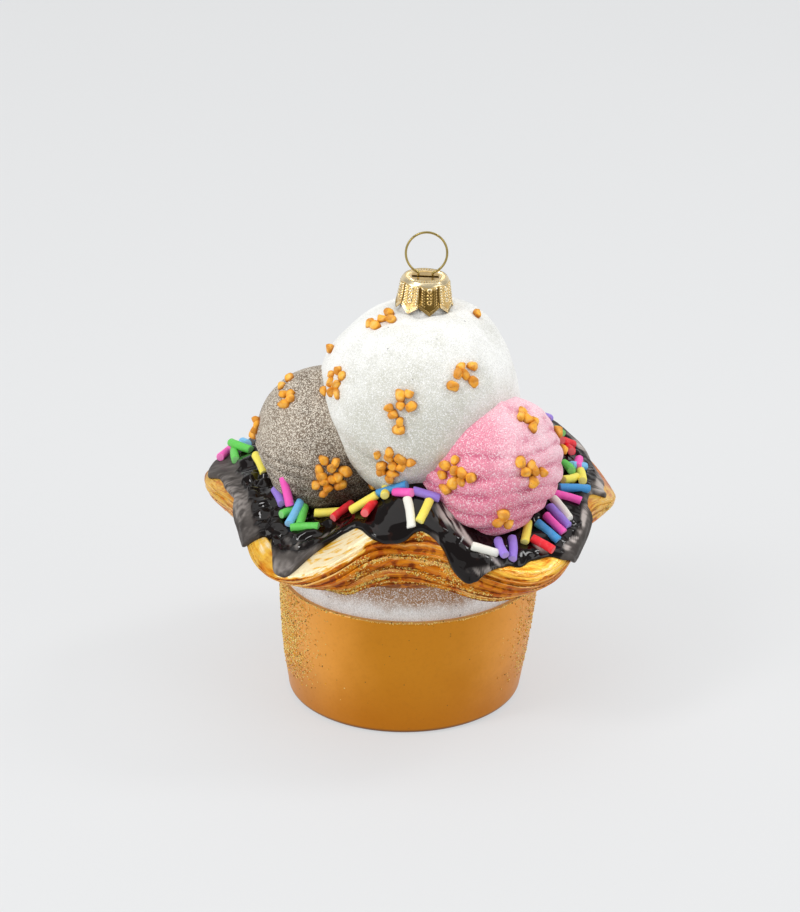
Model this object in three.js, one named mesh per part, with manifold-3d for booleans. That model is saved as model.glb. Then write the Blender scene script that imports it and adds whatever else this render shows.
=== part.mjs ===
// A blown glass hanging ornament in the form of a waffle sundae. The glass is one blown piece: a
// tapered cup, a white band, a draped waffle brim, a chocolate coat with drips, and three scoops
// strewn with chopped nuts and sprinkles. A stamped crown cap sits on its neck and holds a wire loop.
// Millimetres, +Z up, the origin at the centre of the flat foot, the viewer's side at -Y.
import * as THREE from 'three';
import { mergeVertices } from 'three/addons/utils/BufferGeometryUtils.js';
import Module from 'manifold-3d';

const wasm = await Module();
wasm.setup();

// Cup and white band
const FOOT_RADIUS = 27.2;
const FOOT_CORNER = 1.6;
const RIM_RADIUS = 30.2;
const RIM_HEIGHT = 29.8;
const RIM_STEP = 0.7;
const BAND_RADIUS = 28.9;
const BAND_TOP = 38;
const LEAN = 0.04; // the blown body leans this much to +X for each millimetre of height

// Brim: ten folds, lobes that droop and crests that stand up. Azimuth is in degrees from +X.
const CROWN_RADIUS = 25;
const BRIM_BELLY = 1.6;
const BRIM_SOFTNESS = 0.12;
const TOP_BULGE = 1.5;
const RIDGE_DEPTH = 0.45;
const RIDGE_COUNT = 2;
const HEM_DIPS = [[-111, -1.4, 4.5], [-67, -1.1, 8]]; // azimuth, height and width in degrees
const FOLDS = [
  { azimuth: -91, hemRadius: 35, hemHeight: 41.6, bendRadius: 36, bendHeight: 55.8, crownHeight: 63 },
  { azimuth: -54, hemRadius: 43.4, hemHeight: 39.5, bendRadius: 48.4, bendHeight: 45.3, crownHeight: 54.3 },
  { azimuth: -20, hemRadius: 39.5, hemHeight: 43, bendRadius: 43, bendHeight: 51.3, crownHeight: 55 },
  { azimuth: 10, hemRadius: 43.8, hemHeight: 42.6, bendRadius: 47.5, bendHeight: 46, crownHeight: 57 },
  { azimuth: 49, hemRadius: 37, hemHeight: 43, bendRadius: 42, bendHeight: 56, crownHeight: 61 },
  { azimuth: 86, hemRadius: 45, hemHeight: 41, bendRadius: 49, bendHeight: 46, crownHeight: 60 },
  { azimuth: 124, hemRadius: 37, hemHeight: 43, bendRadius: 40, bendHeight: 55, crownHeight: 60 },
  { azimuth: 160, hemRadius: 46, hemHeight: 42.8, bendRadius: 50.5, bendHeight: 47.3, crownHeight: 57 },
  { azimuth: 197, hemRadius: 39, hemHeight: 43.5, bendRadius: 41.5, bendHeight: 51.5, crownHeight: 55 },
  { azimuth: 231, hemRadius: 42.4, hemHeight: 41, bendRadius: 48, bendHeight: 45, crownHeight: 53 },
];

// Chocolate coat: its lower edge as azimuth and reach. Reach is -1 at the hem, 0 at the bend of the
// brim and 1 at the crown where the scoops stand.
const COAT_THICKNESS = 0.7;
const DRIP_EDGE = [
  [-200, 0], [-190, 0], [-188.5, 0.06], [-185.5, 0.12], [-181, 0.1], [-177.7, 0.05], [-171, -0.03],
  [-166.2, -0.05], [-162.5, -0.2], [-160.5, -0.45], [-153, -0.48], [-147, -0.42], [-144.8, -0.1],
  [-143.6, 0.2], [-139, 0.22], [-135.2, 0.16], [-132.5, 0.08], [-130.3, -0.02], [-126.5, -0.05],
  [-124.8, 0.02], [-124, 0.22], [-122.5, 0.33], [-120.5, 0.41], [-117, 0.49], [-112, 0.48],
  [-109, 0.36], [-104, 0.08], [-100, -0.12], [-95.5, -0.2], [-92.5, -0.17], [-90, -0.05], [-87.5, 0],
  [-85, -0.02], [-82.5, -0.06], [-80, -0.16], [-79, -0.31], [-77, -0.49], [-74, -0.57], [-71.5, -0.48],
  [-70, -0.22], [-68, -0.06], [-65.3, 0.07], [-61, 0.16], [-58.5, 0.14], [-56, 0.17], [-54, 0.2],
  [-49, 0.17], [-46.5, 0.14], [-45, 0.05], [-42, -0.1], [-39.5, -0.45], [-30, -0.55], [-25, -0.35],
  [-22.5, 0], [-17, 0.1], [-11, 0.16], [-7.8, 0.14], [-6.3, 0.01], [-4.5, 0.01], [-2, 0.1], [2, 0.13],
  [7, 0.12], [13, 0.14], [20, 0.1], [26, -0.02], [33, -0.15], [40, 0.1], [47, 0.3], [54, 0.1],
  [60, -0.3], [66, -0.25], [71, 0.12], [80, 0.2], [86, -0.05], [91, -0.12], [97, 0.15], [106, 0.22],
  [112, -0.1], [118, -0.35], [125, -0.3], [131, 0.1], [140, 0.2], [147, 0.05], [153, 0.1],
];
const COLUMN_GAPS = [3.9, 7]; // the least and the most between two columns

// Scoops: centres on the unleaned axis. Ridges lie level round a scoop, and the white one is drawn
// out at the back, so that it closes the gap behind the two small ones. Swells and dents shape the
// feet: azimuth, elevation, height and width in degrees.
const SCOOPS = {
  white: {
    centre: [0.1, -7, 74.6], radius: 22.5, drawnOut: 1.35,
    ridges: 0, ridgeDepth: 0, columns: 26, rings: 13,
    swells: [[-170, -28, -2.4, 26], [30, 48, 1.2, 22], [170, 21, 0.9, 15], [-100, -32, 1.2, 12]],
  },
  brown: {
    centre: [-20, -5, 64.25], radius: 16.7, drawnOut: 1,
    ridges: 7, ridgeDepth: 0.25, columns: 20, rings: 12,
    swells: [[-95, -36, 2, 24], [-52, -22, 3, 15], [140, 50, 0.4, 25]],
  },
  pink: {
    centre: [16.8, -18.5, 63.3], radius: 16, drawnOut: 1,
    ridges: 7, ridgeDepth: 0.5, columns: 20, rings: 18,
    swells: [[-155, -3, 1.6, 17], [-100, -32, 1.6, 28], [-20, -45, -1.5, 25], [28, 48, 0.8, 18]],
  },
};
const NECK_DENT = 1.7;
const NECK_DENT_ANGLE = 18;

// Chopped nuts, in clusters: azimuth and elevation about the scoop's centre
const NUT_RADIUS = 1.2;
const NUT_SIDES = 5;
const NUT_BLUNTNESS = 0.8; // a chip's height over its width
const NUT_RISE = 0.1; // of a nut's centre over the scoop
const NUTS = {
  white: [
    [-176, 71], [-148, 69], [-162, 66], [-156, 60], [-166, 59], [10, 57], [-160, 23], [-155, 28],
    [-148, 27], [-158, 20], [-150, 21], [-153, 16], [-164, 12], [-147, 16], [-102, 25], [-97, 26],
    [-101, 19], [-95, 19], [-108, 17], [-105, 14], [-101, 10], [-101, 6], [-60, 39], [-64, 35],
    [-51, 38], [-59, 34], [-69, 29], [-54, 29], [-113, -11], [-106, -8], [-106, -12], [-100, -12],
    [-94, -14], [-111, -18], [-104, -17], [-99, -17], [-111, -22], [-104, -22], [-106, -26], [176, 30],
  ],
  brown: [
    [-155, 49], [-145, 52], [-140, 49], [-143, 43], [177, 58], [-175, 51], [-177, 17], [-172, 15],
    [-174, 10], [-180, 4], [-92, 7], [-83, 5], [-86, 1], [-95, 0], [-93, -5], [-76, -2], [-81, -7],
    [-85, -8], [-97, -12], [-91, -10], [-78, -13], [-88, -15], [-91, -19], [-54, -15],
  ],
  pink: [
    [-30, 64], [-43, 61], [-35, 57], [-26, 52], [-37, 49], [-125, 25], [-132, 19], [-123, 17],
    [-116, 17], [-133, 11], [-108, 14], [-122, 8], [-115, 10], [-128, 1], [-67, 25], [-57, 21],
    [-63, 17], [-54, 17], [-45, 12], [-56, 7], [-81, -14], [-80, -18], [-84, -21], [-75, -25], [6, 12],
    [10, 26],
  ],
};
const BACK_CLUSTERS = [
  { scoop: 'white', azimuth: 40, elevation: 8 },
  { scoop: 'white', azimuth: 75, elevation: 25 },
  { scoop: 'white', azimuth: 100, elevation: 0 },
  { scoop: 'white', azimuth: 132, elevation: 6 },
  { scoop: 'brown', azimuth: 118, elevation: 12 },
  { scoop: 'pink', azimuth: 48, elevation: 4 },
];
const BACK_CLUSTER_NUTS = 4;
const BACK_CLUSTER_SPREAD = 6.5;

// Tube sprinkles: each by the places of its two ends, as azimuth, reach and lift off the coat
const SPRINKLE_RADIUS = 0.98;
const SPRINKLE_SINK = 0.35;
const SPRINKLE_SIDES = 6;
const SPRINKLES = [
  [-197.5, 0.15, 0.5, -205.4, 0.13, 0], [-202.1, 0.18, 2.5, -196.9, 0.44, 0],
  [-191.4, 0.32, 0, -201, 0.24, 0.5], [-202.4, 0.36, 0.5, -208.9, 0.16, 0],
  [-185.3, 0.51, 1.5, -173.2, 0.51, 0], [-148.8, 0.52, 6.5, -143.2, 0.55, 1.5],
  [-158.3, 0.5, 0, -147.5, 0.51, 0.5], [-155.3, 0.68, 0, -144.3, 0.64, 0],
  [-142.2, 0.68, 1.5, -137.1, 0.44, 1], [-143, 0.43, 1, -142.5, 0.69, 0],
  [-141, 0.71, 0.5, -134.7, 0.53, 0.5], [-136.9, 0.46, 0, -128, 0.62, 0],
  [-135.3, 0.73, 0, -124.9, 0.88, 0], [-125.1, 0.73, 0.5, -123.9, 1.01, 0.5],
  [-117.6, 0.75, 1, -107, 0.76, 1], [-109.2, 0.48, 1.5, -108, 0.77, -0.5],
  [-107.5, 0.83, 0.5, -93.7, 0.76, 0], [-102.8, 0.66, 0.5, -105.2, 1.04, -0.5],
  [-99.8, 0.74, -0.5, -91.8, 0.47, 1.5], [-91.3, 0.63, 0, -80, 0.6, 0.5],
  [-92.9, 0.48, 0, -90.8, 0.02, 0], [-84.2, 0.51, 0, -88.4, 0.08, 0.5],
  [-71.8, 0.15, 0, -64.1, 0.22, 0], [-61.7, 0.41, 0, -63.3, 0.14, 1.5], [-55, 0.45, 0, -59.9, 0.19, 0],
  [-45.2, 0.52, 0, -52.5, 0.36, 0], [-49, 0.37, 0, -46.5, 0.14, 0.5], [-42.7, 0.46, 0, -42.2, 0.18, 0],
  [-37.6, 0.44, 0, -38.8, 0.18, 0], [-32.5, 0.46, 0, -35.5, 0.16, 0], [-27.3, 0.46, 0, -32.6, 0.17, 0],
  [-25.2, 0.51, 0.2, -22.2, 0.15, 0.1], [-19.1, 0.47, 0, -12.8, 0.18, 0.5],
  [-13.7, 0.47, 0.5, -5, 0.4, 0], [2.5, 0.41, 0, -8.3, 0.3, 0.5], [4.3, 0.58, -0.5, -4.8, 0.46, 1],
  [11.4, 0.4, 0.5, 1.6, 0.45, 0.5], [1.1, 0.51, 0.5, 8.4, 0.35, 0], [20, 0.5, 1, 25, 0.25, -0.5],
  [20.9, 0.41, -0.5, 11.7, 0.47, 1.5], [31.3, 0.31, -0.5, 22.2, 0.46, 2],
  [32.7, 0.46, 1.5, 38.3, 0.16, -0.5],
];
const BACK_SPRINKLES = { first: 40, last: 146, step: 6.1, near: 0.28, spread: 0.42, turn: 47, arc: 10.5 };

// Neck, cap and wire loop, on the axis of the neck
const NECK_PLACE = [0.62, -3];
const NECK_RADIUS = 4.3;
const NECK_BORE = 3.3;
const NECK_TOP = 101.6;
const NECK_BORE_FLOOR = 97.6;
const NECK_ROOT = 88;
const CAP_TOP = 103;
const CAP_TOP_RADIUS = 5.35;
const CAP_HEM_RADIUS = 6.35;
const CAP_WALL = 0.55;
const CAP_GAP = 0.35;
const CAP_PETALS = 8;
const CAP_PETAL_TURN = -80;
const CAP_PETAL_BULGE = 0.3;
const CAP_PETAL_POINT = 1.9;
const CAP_SLOT = [6, 1.3];
const CAP_COLUMNS_PER_PETAL = 6;
const RING_WIDTH_RADIUS = 4.6;
const RING_HEIGHT_RADIUS = 4.9;
const RING_CENTRE = 108.3;
const WIRE_RADIUS = 0.26;
const WIRE_LEG = 1.55;
const WIRE_FOOT = [2.5, 98.4];

// A number between 0 and 1 that depends on its seed alone
function scatter(seed) {
  const value = Math.sin(seed * 12.9898 + 4.1414) * 43758.5453;
  return value - Math.floor(value);
}

function radians(degrees) {
  return THREE.MathUtils.degToRad(degrees);
}

// Rows round the circle, between which a value is read off at any azimuth
function between(rows, azimuth, position) {
  const turn = THREE.MathUtils.euclideanModulo(azimuth - position(rows[0]), 360);
  const last = rows.length - 1;
  for (let index = 0; index <= last; index++) {
    const start = position(rows[index]) - position(rows[0]);
    const end = index === last ? 360 : position(rows[index + 1]) - position(rows[0]);
    if (turn <= end) {
      const high = rows[(index + 1) % rows.length];
      return { low: rows[index], high, part: (turn - start) / (end - start) };
    }
  }
  throw new Error('no row holds this azimuth');
}

// The fold at an azimuth: each size eases from one row to the next by half a cosine wave
function foldAt(azimuth) {
  const { low, high, part } = between(FOLDS, azimuth, (row) => row.azimuth);
  const weight = 0.5 - 0.5 * Math.cos(Math.PI * part);
  const fold = {};
  for (const key of Object.keys(low)) {
    fold[key] = THREE.MathUtils.lerp(low[key], high[key], weight);
  }
  for (const [centre, dip, width] of HEM_DIPS) {
    const away = THREE.MathUtils.euclideanModulo(azimuth - centre + 180, 360) - 180;
    fold.hemHeight += dip * Math.exp(-((away / width) ** 2));
  }
  return fold;
}

function dripReach(azimuth) {
  const { low, high, part } = between(DRIP_EDGE, azimuth, (row) => row[0]);
  return THREE.MathUtils.lerp(low[1], high[1], part);
}

// Radius and height of the brim at one reach: a bellied face below the bend, a falling top above it
function brimCorner(fold, reach) {
  if (reach <= 0) {
    const rise = reach + 1;
    return [
      THREE.MathUtils.lerp(fold.hemRadius, fold.bendRadius, rise) + BRIM_BELLY * Math.sin(Math.PI * rise),
      THREE.MathUtils.lerp(fold.hemHeight, fold.bendHeight, rise),
    ];
  }
  const bulge = 1 - Math.max(0, 1 - reach) ** TOP_BULGE;
  return [
    THREE.MathUtils.lerp(fold.bendRadius, CROWN_RADIUS, reach),
    THREE.MathUtils.lerp(fold.bendHeight, fold.crownHeight, bulge),
  ];
}

// The same with the bend rounded off, as the mean of five points along the profile
function brimPoint(azimuth, reach) {
  const fold = foldAt(azimuth);
  const point = [0, 0];
  for (const shift of [-1, -0.5, 0, 0.5, 1]) {
    const near = THREE.MathUtils.clamp(reach + shift * BRIM_SOFTNESS, -1, 1.3);
    const corner = brimCorner(fold, near);
    point[0] += corner[0] / 5;
    point[1] += corner[1] / 5;
  }
  return point;
}

// A brim point moved out by a height along the profile's normal
function brimRaised(azimuth, reach, height) {
  const point = brimPoint(azimuth, reach);
  const before = brimPoint(azimuth, reach - 0.03);
  const after = brimPoint(azimuth, reach + 0.03);
  const along = [after[0] - before[0], after[1] - before[1]];
  const length = Math.hypot(along[0], along[1]);
  return [point[0] + (height * along[1]) / length, point[1] - (height * along[0]) / length];
}

// Height of the flowing ridges on the waffle's outer face
function ridgeHeight(azimuth, reach) {
  const fade = Math.sin(Math.PI * THREE.MathUtils.clamp(-reach, 0, 1));
  const flow = 0.9 * Math.sin(radians(3 * azimuth)) + 0.5 * Math.sin(radians(7 * azimuth + 40));
  return RIDGE_DEPTH * fade * Math.sin(2 * Math.PI * RIDGE_COUNT * (reach + 1) + flow);
}

// Profile of the body at one azimuth, from the centre of the foot to the centre under the scoops
function bodyProfile(azimuth) {
  const profile = [
    [FOOT_RADIUS - FOOT_CORNER, 0],
    [FOOT_RADIUS, FOOT_CORNER],
    [RIM_RADIUS, RIM_HEIGHT],
    [RIM_RADIUS - RIM_STEP, RIM_HEIGHT + RIM_STEP / 2],
    [BAND_RADIUS, BAND_TOP],
  ];
  const edge = dripReach(azimuth);
  for (const reach of [-1, -0.83, -0.67, -0.5, -0.33, -0.17, 0, 0.2]) {
    const near = Math.min(reach, edge);
    profile.push(brimRaised(azimuth, near, ridgeHeight(azimuth, near)));
  }
  for (const reach of [-0.5, -0.2, 0, 0.15, 0.4, 0.7, 1]) {
    profile.push(brimRaised(azimuth, Math.max(reach, edge + 0.01), COAT_THICKNESS));
  }
  profile.push([CROWN_RADIUS - 7, foldAt(azimuth).crownHeight + 1]);
  return profile;
}

// Azimuths of the columns: points of the drip edge, with the narrow gaps skipped and the wide ones
// divided
function columnAzimuths() {
  const [least, most] = COLUMN_GAPS;
  const end = DRIP_EDGE[0][0] + 360;
  const kept = [DRIP_EDGE[0][0]];
  for (const [azimuth] of DRIP_EDGE) {
    if (azimuth - kept.at(-1) >= least && end - azimuth >= least) {
      kept.push(azimuth);
    }
  }
  return kept.flatMap((azimuth, index) => {
    const gap = (kept[index + 1] ?? end) - azimuth;
    const parts = Math.ceil(gap / most);
    return Array.from({ length: parts }, (_, part) => azimuth + (gap * part) / parts);
  });
}

// A closed skin from rings of equal length, with a point at each end
function skin(rings, firstPole, lastPole) {
  const count = rings[0].length;
  const positions = [...firstPole];
  rings.flat().forEach((point) => positions.push(...point));
  positions.push(...lastPole);
  const last = positions.length / 3 - 1;
  const indices = [];
  for (let column = 0; column < count; column++) {
    const next = (column + 1) % count;
    indices.push(0, 1 + next, 1 + column);
    for (let row = 0; row + 1 < rings.length; row++) {
      const low = 1 + row * count;
      const high = low + count;
      indices.push(low + column, low + next, high + next);
      indices.push(low + column, high + next, high + column);
    }
    const top = last - count;
    indices.push(top + column, top + next, last);
  }
  return welded(positions, indices);
}

// One geometry with its doubled points joined and its empty triangles dropped
function welded(positions, indices) {
  const loose = new THREE.BufferGeometry();
  loose.setAttribute('position', new THREE.Float32BufferAttribute(positions, 3));
  loose.setIndex(indices);
  const joined = mergeVertices(loose, 1e-3);
  const corners = joined.index.array;
  const kept = [];
  for (let start = 0; start < corners.length; start += 3) {
    const [a, b, c] = corners.slice(start, start + 3);
    if (a !== b && b !== c && c !== a) {
      kept.push(a, b, c);
    }
  }
  joined.setIndex(kept);
  return joined;
}

function toSolid(geometry) {
  return new wasm.Manifold(new wasm.Mesh({
    numProp: 3,
    vertProperties: new Float32Array(geometry.attributes.position.array),
    triVerts: new Uint32Array(geometry.index.array),
  }));
}

function toGeometry(solid) {
  const mesh = solid.getMesh();
  return welded(Array.from(mesh.vertProperties), Array.from(mesh.triVerts));
}

// A three.js shape as a solid: only its places are kept, and its doubled points are joined
function shapeSolid(geometry) {
  geometry.deleteAttribute('normal');
  geometry.deleteAttribute('uv');
  const joined = mergeVertices(geometry, 1e-3);
  return toSolid(welded(joined.attributes.position.array, Array.from(joined.index.array)));
}

function makeBody() {
  const columns = columnAzimuths();
  const profiles = columns.map(bodyProfile);
  const rings = profiles[0].map((_, row) => profiles.map((profile, column) => {
    const angle = radians(columns[column]);
    const [radius, height] = profile[row];
    return [radius * Math.cos(angle), radius * Math.sin(angle), height];
  }));
  const meanCrown = FOLDS.reduce((sum, fold) => sum + fold.crownHeight, 0) / FOLDS.length;
  return toSolid(skin(rings, [0, 0, 0], [0, 0, meanCrown]));
}

// The unit direction at an azimuth and an elevation
function direction(azimuth, elevation) {
  const level = Math.cos(radians(elevation));
  return [
    level * Math.cos(radians(azimuth)),
    level * Math.sin(radians(azimuth)),
    Math.sin(radians(elevation)),
  ];
}

// Angle in degrees between two unit directions
function angleBetween(one, other) {
  const cosine = one[0] * other[0] + one[1] * other[1] + one[2] * other[2];
  return THREE.MathUtils.radToDeg(Math.acos(THREE.MathUtils.clamp(cosine, -1, 1)));
}

// A point on a scoop: a ball with soft lumps, level ridges and swells, drawn out at the back
function scoopPoint(name, azimuth, elevation, height) {
  const scoop = SCOOPS[name];
  const toward = direction(azimuth, elevation);
  const lumps = 0.25 * Math.sin(radians(3 * azimuth + 50)) * Math.cos(radians(2 * elevation));
  const wander = 0.6 * Math.sin(radians(2 * azimuth)) + 0.35 * Math.sin(radians(5 * azimuth + 70));
  const ridge = scoop.ridgeDepth * Math.sin(radians(elevation) * scoop.ridges * 2 + wander);
  let radius = scoop.radius + lumps + ridge * Math.cos(radians(elevation)) + height;
  for (const [swellAzimuth, swellElevation, swell, width] of scoop.swells) {
    const angle = angleBetween(toward, direction(swellAzimuth, swellElevation));
    radius += swell * Math.exp(-((angle / width) ** 2));
  }
  if (name === 'white') {
    radius -= NECK_DENT * Math.exp(-(((90 - elevation) / NECK_DENT_ANGLE) ** 2));
  }
  const back = toward[1] > 0 ? scoop.drawnOut : 1;
  return [
    scoop.centre[0] + radius * toward[0],
    scoop.centre[1] + radius * toward[1] * back,
    scoop.centre[2] + radius * toward[2],
  ];
}

function makeScoop(name) {
  const { columns, rings } = SCOOPS[name];
  const circles = [];
  for (let ring = 1; ring < rings; ring++) {
    const elevation = -90 + (180 * ring) / rings;
    const circle = [];
    for (let column = 0; column < columns; column++) {
      circle.push(scoopPoint(name, (360 * column) / columns, elevation, 0));
    }
    circles.push(circle);
  }
  return toSolid(skin(circles, scoopPoint(name, 0, -90, 0), scoopPoint(name, 0, 90, 0)));
}

// A chip of nut: two blunt five-sided points back to back, each corner pulled in or out
function makeNut(place, seed) {
  const size = NUT_RADIUS * (0.9 + 0.4 * scatter(seed));
  const girdle = [];
  for (let corner = 0; corner < NUT_SIDES; corner++) {
    const angle = (2 * Math.PI * corner) / NUT_SIDES;
    const pull = size * (0.8 + 0.4 * scatter(seed * 31 + corner));
    const lift = size * 0.5 * (scatter(seed * 17 + corner) - 0.5);
    girdle.push([1.2 * pull * Math.cos(angle), pull * Math.sin(angle), lift]);
  }
  const chip = skin([girdle], [0, 0, -NUT_BLUNTNESS * size], [size * 0.3, 0, NUT_BLUNTNESS * size]);
  chip.rotateX(6 * scatter(seed + 0.3));
  chip.rotateZ(6 * scatter(seed + 0.6));
  chip.translate(...place);
  return toSolid(chip);
}

function makeNuts() {
  const nuts = [];
  for (const [name, places] of Object.entries(NUTS)) {
    places.forEach(([azimuth, elevation]) => {
      nuts.push(makeNut(scoopPoint(name, azimuth, elevation, NUT_RISE), nuts.length + 1));
    });
  }
  for (const cluster of BACK_CLUSTERS) {
    for (let index = 0; index < BACK_CLUSTER_NUTS; index++) {
      const angle = (2 * Math.PI * index) / BACK_CLUSTER_NUTS + scatter(nuts.length);
      const spread = BACK_CLUSTER_SPREAD * (0.5 + 0.7 * scatter(nuts.length + 0.5));
      const place = scoopPoint(
        cluster.scoop,
        cluster.azimuth + spread * Math.cos(angle),
        cluster.elevation + spread * Math.sin(angle),
        NUT_RISE,
      );
      nuts.push(makeNut(place, nuts.length + 1));
    }
  }
  return nuts;
}

// A place over the coat at an azimuth, reach and lift, from which a sprinkle's axis is measured
function coatPlace(azimuth, reach, lift) {
  const [radius, height] = brimRaised(azimuth, reach, COAT_THICKNESS + SPRINKLE_RADIUS - SPRINKLE_SINK);
  const angle = radians(azimuth);
  return new THREE.Vector3(radius * Math.cos(angle), radius * Math.sin(angle), height + lift);
}

// The back of the coat is strewn by a rule: even steps, a spread of reaches, a turn more each time
function backSprinkles() {
  const { first, last, step, near, spread, turn, arc } = BACK_SPRINKLES;
  const places = [];
  for (let azimuth = first; azimuth <= last; azimuth += step) {
    const index = places.length;
    const reach = near + spread * scatter(index + 7);
    const angle = radians(turn * index);
    places.push([
      azimuth - (arc / 2) * Math.cos(angle), reach - 0.2 * Math.sin(angle), 0,
      azimuth + (arc / 2) * Math.cos(angle), reach + 0.2 * Math.sin(angle), 0,
    ]);
  }
  return places;
}

function makeSprinkle(ends) {
  const from = coatPlace(...ends.slice(0, 3));
  const to = coatPlace(...ends.slice(3));
  const section = new THREE.Shape().absarc(0, 0, SPRINKLE_RADIUS, 0, 2 * Math.PI);
  const tube = new THREE.ExtrudeGeometry(section, {
    depth: from.distanceTo(to), curveSegments: SPRINKLE_SIDES / 2, bevelEnabled: false,
  });
  const heading = to.clone().sub(from).normalize();
  tube.applyQuaternion(new THREE.Quaternion().setFromUnitVectors(new THREE.Vector3(0, 0, 1), heading));
  tube.translate(...from);
  return shapeSolid(tube);
}

function ringOf(radius, height, count) {
  const points = [];
  for (let index = 0; index < count; index++) {
    const angle = (2 * Math.PI * index) / count;
    points.push([radius * Math.cos(angle), radius * Math.sin(angle), height]);
  }
  return points;
}

// The neck is a plain stub with a shallow bore, hidden by the cap
function makeNeck() {
  const rings = [ringOf(NECK_RADIUS, NECK_ROOT, 24), ringOf(NECK_RADIUS, NECK_TOP, 24)];
  return toSolid(skin(rings, [0, 0, NECK_ROOT], [0, 0, NECK_TOP])).translate(...NECK_PLACE, 0);
}

function makeNeckBore() {
  const high = NECK_TOP + 1;
  const rings = [ringOf(NECK_BORE, NECK_BORE_FLOOR, 24), ringOf(NECK_BORE, high, 24)];
  return toSolid(skin(rings, [0, 0, NECK_BORE_FLOOR], [0, 0, high])).translate(...NECK_PLACE, 0);
}

// The blown body: all its forms joined, bored at the neck, and leaned to one side
function makeGlassBody() {
  let body = makeBody();
  const forms = [...Object.keys(SCOOPS).map(makeScoop), makeNeck(), ...makeNuts()];
  forms.push(...[...SPRINKLES, ...backSprinkles()].map(makeSprinkle));
  for (const form of forms) {
    body = body.add(form);
  }
  body = body.subtract(makeNeckBore());
  const geometry = toGeometry(body);
  geometry.applyMatrix4(new THREE.Matrix4().makeShear(0, 0, 0, 0, LEAN, 0));
  return geometry;
}

// Height of the white scoop over a place near the neck, so that the cap's points clear it
function whiteTop(x, y) {
  const [centreX, centreY, centreZ] = SCOOPS.white.centre;
  const back = y > centreY ? SCOOPS.white.drawnOut : 1;
  const away = Math.hypot(x - centreX, (y - centreY) / back);
  const angle = THREE.MathUtils.radToDeg(Math.asin(away / SCOOPS.white.radius));
  const radius = SCOOPS.white.radius - NECK_DENT * Math.exp(-((angle / NECK_DENT_ANGLE) ** 2));
  return centreZ + Math.sqrt(radius * radius - away * away);
}

// Crown cap: a thin fluted bell with pointed petals, a flat top and a slot for the wire
function makeCap() {
  const count = CAP_PETALS * CAP_COLUMNS_PER_PETAL;
  const outer = [];
  const inner = [];
  for (const down of [0, 0.12, 0.4, 0.7, 1]) {
    const outerRing = [];
    const innerRing = [];
    for (let column = 0; column < count; column++) {
      const angle = radians(CAP_PETAL_TURN) + (2 * Math.PI * column) / count;
      const petal = Math.cos(CAP_PETALS * (angle - radians(CAP_PETAL_TURN)));
      const flare = CAP_TOP_RADIUS + (CAP_HEM_RADIUS - CAP_TOP_RADIUS) * down ** 1.4;
      const radius = flare + CAP_PETAL_BULGE * petal * Math.min(1, 2 * down);
      const place = [Math.cos(angle), Math.sin(angle)];
      const point = NECK_PLACE.map((value, axis) => value + radius * place[axis]);
      const clear = whiteTop(point[0], point[1]) + CAP_GAP + 0.35;
      const hem = clear + CAP_PETAL_POINT * (0.5 - 0.5 * petal);
      const height = THREE.MathUtils.lerp(CAP_TOP, hem, down);
      outerRing.push([radius * place[0], radius * place[1], height]);
      const within = Math.min(radius, flare) - CAP_WALL;
      innerRing.push([within * place[0], within * place[1], Math.min(height, CAP_TOP - CAP_WALL)]);
    }
    outer.push(outerRing);
    inner.push(innerRing);
  }
  const rings = [...inner.slice(1), ...outer.reverse()];
  const bell = toSolid(skin(rings, [0, 0, CAP_TOP - CAP_WALL], [0, 0, CAP_TOP]));
  const slot = shapeSolid(new THREE.BoxGeometry(...CAP_SLOT, 4).translate(0, 0, CAP_TOP));
  return toGeometry(bell.subtract(slot));
}

// The wire: up from the bore, round a tall ring and down again
function makeHanger() {
  const points = [new THREE.Vector3(-WIRE_FOOT[0], 0, WIRE_FOOT[1])];
  points.push(new THREE.Vector3(-WIRE_LEG - 0.15, 0, CAP_TOP - 1));
  const open = Math.asin(WIRE_LEG / RING_WIDTH_RADIUS);
  const turns = 24;
  for (let step = 0; step <= turns; step++) {
    const angle = -Math.PI / 2 - open - ((2 * Math.PI - 2 * open) * step) / turns;
    points.push(new THREE.Vector3(
      RING_WIDTH_RADIUS * Math.cos(angle), 0, RING_CENTRE + RING_HEIGHT_RADIUS * Math.sin(angle),
    ));
  }
  points.push(new THREE.Vector3(WIRE_LEG + 0.15, 0, CAP_TOP - 1));
  points.push(new THREE.Vector3(WIRE_FOOT[0], 0, WIRE_FOOT[1]));
  const path = new THREE.CatmullRomCurve3(points);
  const section = new THREE.Shape().absarc(0, 0, WIRE_RADIUS, 0, 2 * Math.PI);
  const wire = new THREE.ExtrudeGeometry(section, {
    steps: 56, curveSegments: 3, bevelEnabled: false, extrudePath: path,
  });
  return toGeometry(shapeSolid(wire));
}

function makeMesh(name, geometry, color, roughness, metalness) {
  const material = new THREE.MeshStandardMaterial({ color, roughness, metalness, flatShading: true });
  const mesh = new THREE.Mesh(geometry, material);
  mesh.name = name;
  return mesh;
}

const sundae = new THREE.Group();
sundae.add(makeMesh('glass_body', makeGlassBody(), '#c8842b', 0.4, 0.2));

// The cap and its wire follow the lean of the neck
const crown = new THREE.Group();
crown.position.set(NECK_PLACE[0] + LEAN * CAP_TOP, NECK_PLACE[1], CAP_TOP);
crown.rotation.y = Math.atan(LEAN);
const cap = makeMesh('cap', makeCap(), '#c9a35a', 0.3, 1);
cap.position.z = -CAP_TOP;
const hanger = makeMesh('hanger', makeHanger(), '#c6a667', 0.3, 1);
hanger.position.z = -CAP_TOP;
crown.add(cap, hanger);
sundae.add(crown);

export default sundae;
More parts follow.
